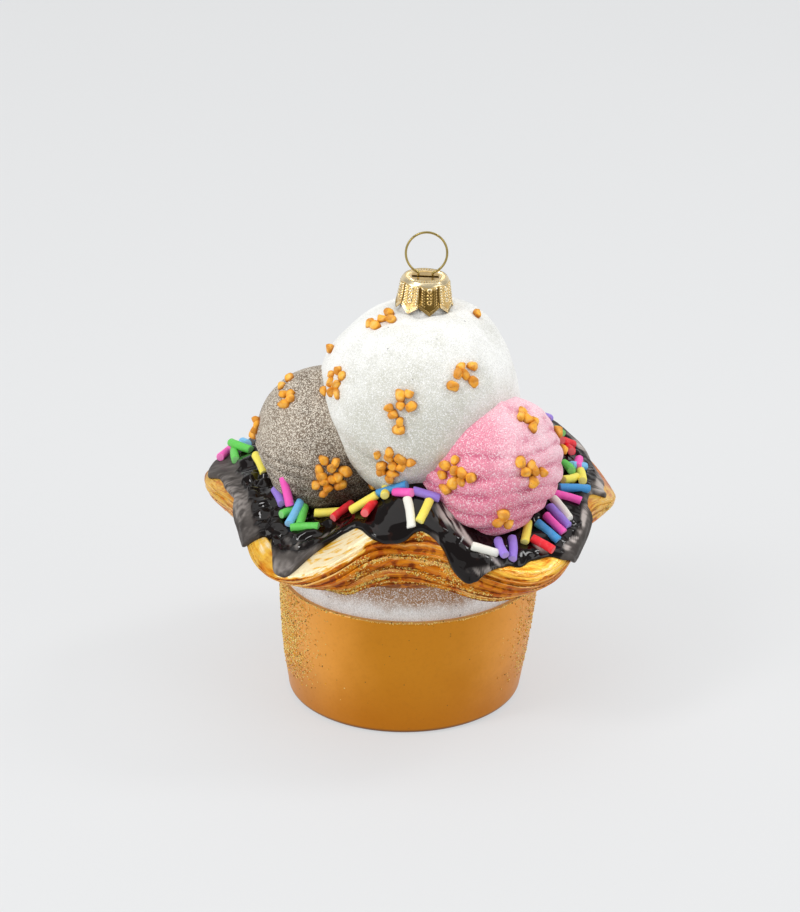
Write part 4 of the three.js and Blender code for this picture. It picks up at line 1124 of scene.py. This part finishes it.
def sprinkle_skins(ends, radius, seed):
    """Cut tubes: rings along a slightly bent axis, bevelled at both ends, with the ends cut askew."""
    draw = np.random.default_rng(seed)
    count = len(ends)
    middles = ends.mean(1)
    span = ends[:, 1] - ends[:, 0]
    headings = unit(span)
    lengths = np.linalg.norm(span, axis=-1)[:, None, None]
    stations = np.array([-0.5, -0.495, -0.47, -0.3, -0.1, 0.1, 0.3, 0.47, 0.495, 0.5])
    widths = np.array([0.82, 0.93, 1, 1.01, 0.99, 1.01, 0.99, 1, 0.93, 0.82])
    around = np.linspace(0, 2 * np.pi, SPRINKLE_SIDES, endpoint=False)
    side = unit(np.cross(headings, (0.3, 0.2, 1.0)))
    other = np.cross(headings, side)
    wheel = np.cos(around)[None, :, None] * side[:, None] + np.sin(around)[None, :, None] * other[:, None]
    rough = 1 + 0.035 * draw.uniform(-1, 1, (count, len(stations), SPRINKLE_SIDES))
    reach = radius * widths[None, :, None] * rough
    skew = draw.uniform(-0.16, 0.16, (count, 2, 1)) * np.sign(stations)[None, None]
    slant = radius * (skew[:, 0, :, None] * np.cos(around) + skew[:, 1, :, None] * np.sin(around))
    slant = slant * (np.abs(stations) > 0.4)[None, :, None]
    bend = draw.uniform(-0.35, 0.35, (count, 1, 1)) * (4 * stations[None, :, None] ** 2)
    along = lengths * stations[None, :, None] + slant
    rings = (middles[:, None, None] + along[..., None] * headings[:, None, None]
             + reach[..., None] * wheel[:, None] + (bend * side[:, None])[:, :, None])
    centres = rings.mean(2)
    at_end = np.repeat(np.abs(stations) > 0.497, SPRINKLE_SIDES).astype(float)
    cut = np.tile(with_poles(at_end, 1, 1), count)
    return many_skins(lean(rings), lean(centres[:, 0]), lean(centres[:, -1])), {"cut": cut}


def flake_skins(places, normals, radius, seed):
    """Glitter flakes: flat four-sided grains that lie on a surface, each tilted its own way."""
    draw = np.random.default_rng(seed)
    count = len(places)
    up = unit(normals + 0.55 * draw.normal(size=(count, 3)))
    side = unit(np.cross(up, draw.normal(size=(count, 3))))
    other = np.cross(up, side)
    size = (radius * draw.uniform(0.6, 1.25, count))[:, None]
    girdle = np.stack([size * side, size * other, -size * side, -size * other], 1)
    centre = places + 0.35 * size * unit(normals)
    rings = (centre[:, None] + girdle)[:, None]
    shade = np.repeat(draw.uniform(size=count), 6)
    return many_skins(rings, centre - 0.3 * size * up, centre + 0.3 * size * up), {"shade": shade}


def seam_flakes():
    """Places of flakes in lines and clusters on the waffle, with the surface's normals."""
    draw = np.random.default_rng(19)
    azimuths, reaches = [], []
    for line, first, last, shift, spread, count in GLITTER_SEAMS:
        azimuth = draw.uniform(first, last, count)
        azimuths.append(azimuth)
        reaches.append(round_table(LAYER_LINES, azimuth)[line] + shift + spread * draw.normal(size=count))
    for azimuth, reach, wide, tall, count in GLITTER_CLUSTERS:
        azimuths.append(azimuth + wide * draw.normal(size=count))
        reaches.append(reach + tall * draw.normal(size=count))
    azimuth = np.concatenate(azimuths)
    reach = np.clip(np.concatenate(reaches), -0.99, 0.05)
    around = lean(on_brim(azimuth + 0.4, reach, 0)) - lean(on_brim(azimuth - 0.4, reach, 0))
    along = lean(on_brim(azimuth, reach + 0.02, 0)) - lean(on_brim(azimuth, reach - 0.02, 0))
    return lean(on_brim(azimuth, reach, layer_relief(azimuth, reach))), unit(np.cross(around, along))


def cup_flakes():
    """Places of flakes on the cup, with the surface's normals: patches that thin out, and the lip's line."""
    draw = np.random.default_rng(23)
    patches = []
    for centre, width, count in CUP_PATCHES:
        turn = centre + width * draw.normal(size=count)
        height = draw.uniform(6, RIM_HEIGHT - 0.5, count)
        wander = 0.9 + 0.5 * lattice_noise(np.stack([turn / 3, height, 0 * turn], -1), 4.0, 5)
        keep = draw.uniform(size=count) < wander * smooth_step(2, 16, height)
        patches.append(np.stack([turn, height], -1)[keep])
    turn = draw.uniform(-180, 180, LIP_FLAKES)
    lip = np.stack([turn, RIM_HEIGHT + 0.05 + 0.12 * draw.normal(size=LIP_FLAKES)], -1)
    azimuth, height = np.concatenate([*patches, lip]).T
    rise = np.clip((height - FOOT_CORNER) / (RIM_HEIGHT - FOOT_CORNER), 0, 1)
    return made_uneven(turned(cup_radius(rise), azimuth, height), 1), direction(azimuth, 0 * azimuth)


# --- Cap and loop ----------------------------------------------------------------------------------


def crown_placed(points):
    """Moves points from the neck's own axis to their place on the leaning body."""
    points = np.array(points, float)
    points[..., 2] -= CAP_TOP
    tilt = np.arctan(LEAN)
    x, z = points[..., 0].copy(), points[..., 2].copy()
    points[..., 0] = x * np.cos(tilt) + z * np.sin(tilt) + NECK_PLACE[0] + LEAN * CAP_TOP
    points[..., 1] += NECK_PLACE[1]
    points[..., 2] = z * np.cos(tilt) - x * np.sin(tilt) + CAP_TOP
    return points


def white_top(x, y):
    """Height of the white scoop over a place near the neck."""
    centre, radius, drawn_out = SCOOPS["white"]
    away = np.hypot(x - centre[0], (y - centre[1]) / np.where(y > centre[1], drawn_out, 1))
    angle = np.degrees(np.arcsin(away / radius))
    dented = radius - NECK_DENT * np.exp(-((angle / NECK_DENT_ANGLE) ** 2))
    return centre[2] + np.sqrt(dented ** 2 - away ** 2)


def beads(across, along, pitch, width):
    """Relief of a row of beads: bumps along a line, from 0 to 1."""
    line = np.exp(-((across / width) ** 2))
    return line * (0.35 + 0.65 * np.maximum(0, np.cos(2 * np.pi * along / pitch)))


def petal_relief(across, down, to_hem):
    """The stamped pattern of a petal: beaded borders, dots with rings round them, and lines along the tip."""
    side = np.abs(across)
    relief = 1.4 * beads(side - 1.6, down, 0.6, 0.19) + 0.8 * beads(side - 1.15, down + 0.3, 0.6, 0.13)
    for level in (1.7, 4.3):
        away = np.hypot(across, down - level)
        relief = relief + np.exp(-(((away - 0.42) / 0.14) ** 2))
    away = np.hypot(across, down - 3.0)
    leaves = np.sin(2 * np.arctan2(down - 3.0, across)) ** 2
    relief = relief + 1.2 * leaves * np.exp(-(((away - 0.5) / 0.24) ** 2)) + np.exp(-((away / 0.15) ** 2))
    inside = smooth_step(0.9, 1.15, to_hem) * smooth_step(0.95, 1.15, down)
    relief = relief * inside
    for distance in (0.18, 0.48, 0.78):
        relief = relief + 0.9 * np.exp(-(((to_hem - distance) / 0.09) ** 2))
    return relief


def cap_skin():
    """The stamped cap: inner wall down, hem, outer wall of petals up, beaded top, and a sunk slot."""
    around = np.radians(CAP_PETAL_TURN) + np.linspace(0, 2 * np.pi, CAP_COLUMNS, endpoint=False)
    spin = CAP_PETALS * (around - np.radians(CAP_PETAL_TURN)) / (2 * np.pi)
    across = (spin + 0.5) % 1 - 0.5
    petal = 0.5 + 0.5 * np.cos(2 * np.pi * across)
    ray = np.stack([np.cos(around), np.sin(around)], -1)

    def wall(down):
        flare = CAP_TOP_RADIUS + (CAP_HEM_RADIUS - CAP_TOP_RADIUS) * down ** 1.4
        radius = flare + CAP_PETAL_BULGE * (2 * petal - 1) * np.minimum(1, 2 * down)
        radius = radius - 0.5 * (1 - smooth_step(-0.02, 0.15, down)) ** 1.5
        below = white_top(NECK_PLACE[0] + radius * ray[:, 0], NECK_PLACE[1] + radius * ray[:, 1])
        hem = below + CAP_GAP + CAP_PETAL_POINT * 2 * np.abs(across)
        return radius, CAP_TOP + (hem - CAP_TOP) * down, hem

    down = np.linspace(0.008, 1, 72)[:, None]
    radius, height, hem = wall(down)
    width = 2 * np.pi * radius / CAP_PETALS
    offset = across * width
    relief = petal_relief(offset, CAP_TOP - height, height - hem)
    groove = np.exp(-(((0.5 - np.abs(across)) * width / 0.2) ** 2)) * smooth_step(0.1, 0.25, down)
    shaped = radius + 0.24 * relief - 0.3 * groove - 0.02
    outer = np.concatenate([shaped[..., None] * ray, height[..., None]], -1)[::-1]
    # Painted light and shade for the stamp: a painted dark reflection on the front petal, a painted highlight
    # on the shoulder and the raised pattern, and painted shade in the grooves and below the shoulder.
    dark_reflection = 0.6 * ((spin + 0.5) % CAP_PETALS < 1)
    shoulder_highlight = 0.3 * smooth_step(0.2, 0.1, down)
    stamp = relief * 0.7 - groove - (0.12 + dark_reflection) * smooth_step(0.15, 0.3, down) + shoulder_highlight
    inner_down = np.linspace(0.3, 0.97, 6)[:, None]
    inner_radius, inner_height, _ = wall(inner_down)
    inner_radius = inner_radius - CAP_WALL
    inner = np.concatenate(
        [inner_radius[..., None] * ray, np.minimum(inner_height, CAP_TOP - 1.5)[..., None]], -1)

    share = np.linspace(0, 1, 34)[:, None]
    half = np.array(CAP_SLOT) / 2
    sides = np.abs(ray) / half
    slot = half * np.sign(ray) * np.minimum(1, sides / np.max(sides, -1, keepdims=True))
    rim = (CAP_TOP_RADIUS - 0.62) * ray
    disc = slot + (rim - slot) * share[..., None]
    away = np.hypot(disc[..., 0], disc[..., 1])
    flutes = np.exp(-(((away - 4.0) / 0.5) ** 4)) * (0.5 + 0.5 * np.cos(44 * around))
    ridge = np.exp(-(((away - 3.3) / 0.15) ** 2)) + np.exp(-(((away - 4.65) / 0.13) ** 2))
    level = CAP_TOP - 0.22 + 0.22 * flutes + 0.18 * ridge
    top = np.concatenate([disc, level[..., None]], -1)[::-1]
    pit = [np.concatenate([slot * scale, np.full((CAP_COLUMNS, 1), CAP_TOP - depth)], -1)
           for scale, depth in ((1, 0.5), (0.99, 1.2))]
    rings = np.concatenate([inner, outer, top, pit])
    # Painted highlight on the raised flutes and ridges of the top.
    top_stamp = 0.8 * flutes + 0.6 * ridge - 0.2
    # Painted shade inside the cap and in its slot.
    inner_stamp, pit_stamp = np.full((len(inner), CAP_COLUMNS), -1.0), np.full((len(pit), CAP_COLUMNS), -2.0)
    stamps = [inner_stamp, stamp[::-1], top_stamp[::-1], pit_stamp]
    skin = closed_skin(
        crown_placed(rings), crown_placed((0, 0, CAP_TOP - 1.5)), crown_placed((0, 0, CAP_TOP - 1.2)))
    return skin, {"stamp": with_poles(np.concatenate(stamps), -1, -2)}


def wire_skin(radius):
    """The loop: up from the neck, round a tall ring and down again, as a round section along a flat path."""
    opening = np.arcsin(WIRE_LEG / RING_WIDTH_RADIUS)
    turn = np.linspace(0, 1, RING_STEPS)
    angle = -np.pi / 2 - opening - (2 * np.pi - 2 * opening) * turn
    ring = np.stack([RING_WIDTH_RADIUS * np.cos(angle), RING_CENTRE + RING_HEIGHT_RADIUS * np.sin(angle)], -1)
    rise = np.linspace(0, 1, LEG_STEPS, endpoint=False)[:, None]
    foot = np.array([(-WIRE_FOOT[0], WIRE_FOOT[1])])
    knee = np.array([(-WIRE_LEG - 0.15, CAP_TOP - 1)])
    leg = (1 - rise) ** 2 * foot + 2 * rise * (1 - rise) * knee + rise ** 2 * ring[:1]
    path = np.concatenate([leg, ring, (leg * np.array([-1, 1]))[::-1]])
    along = unit(np.gradient(path, axis=0))
    normal = np.stack([along[:, 1], -along[:, 0]], -1)
    around = np.linspace(0, 2 * np.pi, WIRE_SIDES, endpoint=False)
    in_plane = path[:, None] + radius * np.cos(around)[None, :, None] * normal[:, None]
    across, level = np.moveaxis(in_plane, -1, 0)
    rings = np.stack([across, np.broadcast_to(-radius * np.sin(around), across.shape), level], -1)
    ends = np.stack([path[:, 0], 0 * path[:, 0], path[:, 1]], -1)
    return closed_skin(crown_placed(rings), crown_placed(ends[0]), crown_placed(ends[-1]))


# --- Finishes --------------------------------------------------------------------------------------


def cup_finish(palette):
    """Satin gold lacquer: painted sheen lighter at the sides, deeper at the foot as deeper lacquer and
    painted shade, a painted highlight on the lip and a painted contact shadow where it stands, softly
    clouded, with a few specks.
    """
    finish = Finish("cup_gold", metallic=0.7, coat_weight=0.25, coat_roughness=0.3, specular_ior_level=0.1)
    place = finish.place()
    side, height = (finish.node("ShaderNodeSeparateXYZ", None, {0: place}, output=axis) for axis in "XZ")
    cloud = finish.noise(11.0, 4.0)
    fine = finish.noise(0.9, 2.0)
    grains = finish.grains(0.55)
    off_centre = side - 3.5
    body = finish.layered(
        palette["cup"],
        # Painted sheen: lighter on both sides and paler still at the left.
        ((off_centre * off_centre + (cloud - 0.5) * 300).step(20, 480), "ECA03C"),  # both sides
        ((0 - side).step(14, 29) * 0.6, "F8B864"),  # paler still at the left
        # Deeper gold toward the foot: partly a deeper lacquer, partly painted shade.
        ((1 - (height + (cloud - 0.5) * 12).step(-2, 20)) * 0.8, palette["cup_low"]),
        # Painted highlight on the lip.
        (height.step(RIM_HEIGHT - 0.2, RIM_HEIGHT + 0.1) * 0.8, "F6C478"),  # the lip
        # Painted contact shadow: a dark line where it stands on the floor.
        ((1.5 - height).step(0, 1.2) * 0.85, "3E2204"),  # the line where it stands
        ((fine - 0.5) * 0.3, "8A4A08"),
        (finish.part(grains, 0).step(0.99, 0.998) * grains.core(0.2, 0.4) * 0.7, "6B4A18"),  # specks
    )
    normal = finish.bump(cloud + finish.noise(2.2, 2.0) * 0.1, 0.3)
    finish.set(base_color=body, roughness=0.4 + fine * 0.1, normal=normal)
    return finish.material


def waffle_finish(palette):
    """Glossy baked pastry: each layer runs from painted shade at its foot to a painted highlight on its lip,
    with streaks along it.
    """
    finish = Finish(
        "waffle_gold", metallic=0.35, coat_weight=0.22, coat_roughness=0.08, specular_ior_level=0.1)
    place = finish.field("layer")
    part = place.fraction()
    flat = finish.place((8, 8, 1e5))
    along, edgewise = (
        finish.vector("ADD", {0: flat, 1: finish.node("ShaderNodeCombineXYZ", None, {"Z": level})})
        for level in (place * 6, finish.field("rise") * 14))
    streak = finish.noise(1.0, 4.0, along, 1.0)
    broad = finish.noise(2.2, 2.0, along)
    edge_streak = finish.noise(0.9, 4.0, edgewise, 0.8)
    patch = finish.noise(3.2, 4.0, None, 1.2)
    open_face = 1 - place.step(LAYERS - 0.5, LAYERS - 0.1)
    # Painted shade at the foot of each layer, broken up by streaks and patches.
    toast = (0.4 - part + (streak - 0.5) * 2.2 + (patch - 0.5) * 2.2).step(0.0, 0.45) * open_face
    # Painted highlight along each layer's lip.
    lip = (part + (streak - 0.5) * 1.4).step(0.66, 0.94) * broad.step(0.42, 0.58) * open_face
    # The pale flanks of the rolled edge: partly pale paint, partly a painted highlight.
    pale = finish.field("cream") * ((edge_streak - 0.5) * 2.8 + (patch - 0.5) * 1.6 + 0.95)
    body = finish.layered(
        palette["amber"],
        (patch.step(0.42, 0.6), palette["orange"]),
        (broad.step(0.5, 0.68) * 0.8, palette["gold"]),
        (toast * 0.88, palette["toast"]),
        # Painted shade deep in the hollows.
        ((0 - finish.field("relief")).step(0.75, 1.25) * 0.65, "4E2204"),  # deep in the hollows
        # Painted highlight on the lips.
        (lip * 0.85, "F9CF80"),
        (pale.step(0.14, 0.48) * 0.9, palette["yellow"]),
        (pale.step(0.5, 0.95), palette["cream"]),
    )
    normal = finish.bump(streak + finish.noise(0.7, 2.0) * 0.3, 0.45, 0.8)
    finish.set(base_color=body, roughness=0.26 + patch * 0.14, normal=normal)
    return finish.material


def chocolate_finish(palette):
    """Dark enamel: a grey painted sheen where it is satin outside, wet and almost black in the second pour,
    and a pale painted sheen where it is brushed.
    """
    finish = Finish("chocolate_coat", specular_ior_level=0.03, coat_roughness=0.04)
    wet = finish.field("wet")
    stroke = finish.field("stroke")
    fine = finish.noise(0.8, 3.0)
    body = finish.layered(
        palette["chocolate"],
        (finish.noise(2.2, 2.0).step(0.6, 0.75) * wet * 0.4, "34160C"),  # red-brown patches of the wet pour
        # Pale painted sheen of the brushed strokes and satin parts.
        ((stroke + (fine - 0.5) * 0.25 * stroke).step(0.0, 1.0), palette["brushed"]),
    )
    finish.set(base_color=body, roughness=0.42 - wet * 0.28 + stroke * 0.2, coat_weight=wet * 0.55)
    finish.set(normal=finish.bump(fine, 0.04, 0.5))
    return finish.material


def nut_finish(palette):
    """Toasted nut: amber with paler patches, with painted shade on its edges and underneath, a little waxy.
    """
    finish = Finish("nut_chips", coat_weight=0.1, coat_roughness=0.3, specular_ior_level=0.2)
    cloud = finish.noise(0.9, 3.0)
    edge = (finish.field("bulge") + (cloud - 0.5) * 0.3).step(0.94, 1.2)
    body = finish.layered(
        palette["nut"],
        (cloud.step(0.4, 0.65) * 0.7, "FFD078"),
        (finish.field("shade") * 0.4, "EE9C28"),
        # Painted shade on the chip's edges.
        (edge * 0.6, "C06C10"),
        (finish.noise(0.45, 2.0).step(0.64, 0.74) * 0.5, "8E4F10"),
        # Painted shade underneath, where the chip sits in the scoop.
        (finish.field("sunk") * 0.85, "9A5208"),
    )
    normal = finish.bump(finish.noise(0.4, 2.0), 0.06, 0.6)
    finish.set(base_color=body, roughness=0.45 + cloud * 0.15, normal=normal)
    return finish.material


def sprinkle_finish(name, code):
    """Dyed clay: one colour, a little chalky in patches and paler on the cut ends."""
    finish = Finish("sprinkle_" + name, coat_weight=0.05, coat_roughness=0.4, specular_ior_level=0.25)
    base = tint(code)
    pale = tuple(0.75 * part + 0.22 for part in base)
    cloud = finish.noise(1.1, 3.0)
    body = finish.layered(
        base,
        (cloud.step(0.45, 0.75) * 0.25, pale),
        (finish.noise(0.3, 1.0).step(0.6, 0.8) * 0.2, scaled(base, 0.6)),
        (finish.field("cut") * 0.6, pale),
    )
    normal = finish.bump(finish.noise(0.4, 2.0), 0.04, 0.5)
    finish.set(base_color=body, roughness=0.5 + cloud * 0.15, normal=normal)
    return finish.material


def flake_finish(palette):
    """Gold glitter: bright grains whose shade differs from grain to grain."""
    finish = Finish("gold_glitter")
    shade = finish.field("shade")
    body = finish.layered(
        "7A5208", (shade.step(0.05, 0.2), palette["glitter"]), (shade.step(0.3, 0.6), "FFE98E"))
    finish.set(base_color=body, metallic=0.2, roughness=0.3 + shade * 0.15)
    return finish.material


def metal_finish(name, colour, stamped=False):
    """Bright gold metal, darker in random clouds and finely scratched; where stamped, painted shade in what
    is stamped in, a painted highlight on what stands up, and a painted dark reflection on the front petal.
    """
    finish = Finish(name)
    cloud = finish.noise(2.0, 4.0)
    body = finish.mix(cloud.step(0.35, 0.75), colour, scaled(colour, 0.72))
    if stamped:
        stamp = finish.field("stamp")
        # Painted shade where stamped in and inside, painted highlight where raised.
        body = finish.layered(
            body, ((0 - stamp).step(0.0, 0.6) * 0.9, "6A4E10"), (stamp.step(0.1, 0.45), "FFF4D4"))
    normal = finish.bump(finish.noise(0.25, 2.0), 0.01, 0.5)
    finish.set(base_color=body, metallic=0.9, roughness=0.18 + cloud * 0.14, normal=normal)
    return finish.material


# --- Operators -------------------------------------------------------------------------------------


class SUNDAE_OT_cup(bpy.types.Operator):
    """Make the tapered gold cup and the white band above it"""

    bl_idname = "sundae.cup"
    bl_label = "Cup and band"

    def execute(self, context):
        palette = colours()
        add_piece("cup", cup_skin(), cup_finish(palette))
        # The band's fade darkens it toward its top as painted shadow under the brim.
        band = glitter_finish(
            "band_white", palette["band"], shade="D8D2CC", spark="FFFFFF", sparks=0.28, size=0.26,
            specks=0.04, fade=((0, 0, 1), 31.5, 35.5, "A87C52"))
        add_piece("band", band_skin(), band)
        return {"FINISHED"}


class SUNDAE_OT_waffle(bpy.types.Operator):
    """Make the draped waffle brim"""

    bl_idname = "sundae.waffle"
    bl_label = "Waffle brim"

    def execute(self, context):
        skin, fields = waffle_skin()
        add_piece("waffle", skin, waffle_finish(colours()), fields=fields)
        return {"FINISHED"}


class SUNDAE_OT_chocolate(bpy.types.Operator):
    """Make the chocolate coat with its drips"""

    bl_idname = "sundae.chocolate"
    bl_label = "Chocolate coat"

    def execute(self, context):
        skin, fields = chocolate_skin(sizes()["coat"])
        add_piece("chocolate", skin, chocolate_finish(colours()), fields=fields)
        return {"FINISHED"}


class SUNDAE_OT_scoops(bpy.types.Operator):
    """Make the three glittered scoops"""

    bl_idname = "sundae.scoops"
    bl_label = "Scoops"

    def execute(self, context):
        palette = colours()
        for name, look in SCOOP_LOOKS.items():
            finish = glitter_finish("scoop_" + name, palette[name + "_scoop"], **look)
            skin, fields = scoop_skin(name)
            add_piece("scoop_" + name, skin, finish, fields=fields)
        return {"FINISHED"}


class SUNDAE_OT_nuts(bpy.types.Operator):
    """Strew the scoops with chopped nuts"""

    bl_idname = "sundae.nuts"
    bl_label = "Chopped nuts"

    def execute(self, context):
        skin, fields = nut_skins(*nut_places(), sizes()["nut"])
        add_piece("nuts", skin, nut_finish(colours()), fields=fields)
        return {"FINISHED"}


class SUNDAE_OT_sprinkles(bpy.types.Operator):
    """Strew the chocolate with tube sprinkles, one piece for each colour"""

    bl_idname = "sundae.sprinkles"
    bl_label = "Sprinkles"

    def execute(self, context):
        radius = sizes()["sprinkle"]
        names, ends = sprinkle_ends(radius)
        for seed, (name, code) in enumerate(SPRINKLE_CODES.items()):
            skin, fields = sprinkle_skins(ends[names == name], radius, seed)
            material = sprinkle_finish(name, code)
            add_piece("sprinkles_" + name, skin, material, fields=fields)
        return {"FINISHED"}


class SUNDAE_OT_glitter(bpy.types.Operator):
    """Lay gold glitter flakes on the waffle's seams and the cup's sides"""

    bl_idname = "sundae.glitter"
    bl_label = "Gold glitter"

    def execute(self, context):
        material = flake_finish(colours())
        places = {"waffle_glitter": seam_flakes, "cup_glitter": cup_flakes}
        for seed, (name, flakes) in enumerate(places.items()):
            skin, fields = flake_skins(*flakes(), sizes()["flake"], seed)
            add_piece(name, skin, material, fields=fields)
        return {"FINISHED"}


class SUNDAE_OT_cap(bpy.types.Operator):
    """Make the stamped crown cap"""

    bl_idname = "sundae.cap"
    bl_label = "Crown cap"

    def execute(self, context):
        skin, fields = cap_skin()
        material = metal_finish("cap_metal", colours()["metal"], stamped=True)
        add_piece("crown_cap", skin, material, node="cap", fields=fields)
        return {"FINISHED"}


class SUNDAE_OT_loop(bpy.types.Operator):
    """Make the wire loop"""

    bl_idname = "sundae.loop"
    bl_label = "Wire loop"

    def execute(self, context):
        material = metal_finish("wire_metal", colours()["wire"])
        add_piece("wire_loop", wire_skin(sizes()["wire"]), material, node="hanger")
        return {"FINISHED"}


class SUNDAE_OT_stage(bpy.types.Operator):
    """Make the pale floor, the soft lights and the camera"""

    bl_idname = "sundae.stage"
    bl_label = "Stage"

    def execute(self, context):
        scene = context.scene
        add_floor(scene)
        add_lights(scene)
        camera = bpy.data.objects.new("camera", bpy.data.cameras.new("camera"))
        camera.location = CAMERA_PLACE
        camera.rotation_euler = (np.radians(90 - CAMERA_PITCH), 0, 0)
        camera.data.sensor_fit = "VERTICAL"
        camera.data.sensor_height = CAMERA_SENSOR
        camera.data.lens = CAMERA_LENS
        scene.collection.objects.link(camera)
        scene.camera = camera
        return {"FINISHED"}


def add_floor(scene):
    """A sweep that runs level under the ornament and curves up behind it, as a profile carried sideways."""
    turn = np.linspace(0, np.pi / 2, 24)
    sweep = (SWEEP_START, SWEEP_RADIUS) + SWEEP_RADIUS * np.stack([np.sin(turn), -np.cos(turn)], -1)
    level = [(FLOOR_FRONT, 0), (-0.6, 0), (0, 0), (0.6, 0)]
    profile = np.concatenate([level, sweep, [(SWEEP_START + SWEEP_RADIUS, SWEEP_TOP)]])
    across = np.linspace(-FLOOR_HALF_WIDTH, FLOOR_HALF_WIDTH, 9)
    grid = np.stack(np.broadcast_arrays(across[None], profile[:, :1], profile[:, 1:]), -1)
    rows, columns = grid.shape[:2]
    start = (np.arange(rows - 1)[:, None] * columns + np.arange(columns - 1)).ravel()
    faces = np.stack([start, start + 1, start + columns + 1, start + columns], -1)
    mesh = bpy.data.meshes.new("floor")
    mesh.from_pydata(grid.reshape(-1, 3).tolist(), [], faces.tolist())
    mesh.shade_smooth()
    finish = Finish("floor_pale", specular_ior_level=0.2)
    finish.set(base_color=finish.mix(finish.noise(240.0, 2.0), "8A8A8A", "868788"), roughness=0.85)
    finish.set(emission_color=(0.98, 0.99, 1.0), emission_strength=FLOOR_GLOW)
    mesh.materials.append(finish.material)
    floor = bpy.data.objects.new("floor", mesh)
    scene.collection.objects.link(floor)


def add_lights(scene):
    """Soft boxes above and at both sides, in a dim pale surrounding."""
    for name, place, target, width, height, power, colour in LIGHTS:
        light = bpy.data.lights.new(name, "AREA")
        light.shape = "RECTANGLE"
        light.size, light.size_y = width, height
        light.energy = power
        light.color = colour
        lamp = bpy.data.objects.new(name, light)
        lamp.location = place
        lamp.rotation_euler = (Vector(target) - Vector(place)).to_track_quat("-Z", "Y").to_euler()
        scene.collection.objects.link(lamp)
    world = bpy.data.worlds.new("surrounding")
    world.use_nodes = True
    background = world.node_tree.nodes["Background"]
    background.inputs["Color"].default_value = SURROUNDING
    background.inputs["Strength"].default_value = SURROUNDING_STRENGTH
    scene.world = world
    scene.view_settings.view_transform = "Standard"


class SUNDAE_PT_panel(bpy.types.Panel):
    """Lists the ornament's sizes, colours and pieces"""

    bl_idname = "SUNDAE_PT_panel"
    bl_label = "Waffle sundae ornament"
    bl_space_type = "VIEW_3D"
    bl_region_type = "UI"
    bl_category = "Sundae"

    def draw(self, context):
        column = self.layout.column()
        for group in (context.scene.sundae_sizes, context.scene.sundae_colours):
            for name in type(group).__annotations__:
                column.prop(group, name)
        for operator in OPERATORS:
            column.operator(operator.bl_idname)


OPERATORS = (
    SUNDAE_OT_stage,
    SUNDAE_OT_cup,
    SUNDAE_OT_waffle,
    SUNDAE_OT_chocolate,
    SUNDAE_OT_scoops,
    SUNDAE_OT_nuts,
    SUNDAE_OT_sprinkles,
    SUNDAE_OT_glitter,
    SUNDAE_OT_cap,
    SUNDAE_OT_loop,
)
CLASSES = (SundaeSizes, SundaeColours, *OPERATORS, SUNDAE_PT_panel)


def register():
    for cls in CLASSES:
        bpy.utils.register_class(cls)
    bpy.types.Scene.sundae_sizes = PointerProperty(type=SundaeSizes)
    bpy.types.Scene.sundae_colours = PointerProperty(type=SundaeColours)


def unregister():
    del bpy.types.Scene.sundae_colours
    del bpy.types.Scene.sundae_sizes
    for cls in reversed(CLASSES):
        bpy.utils.unregister_class(cls)


def main():
    """Makes every piece in order."""
    register()
    for operator in OPERATORS:
        group, name = operator.bl_idname.split(".")
        getattr(getattr(bpy.ops, group), name)()


if __name__ == "__main__":
    main()
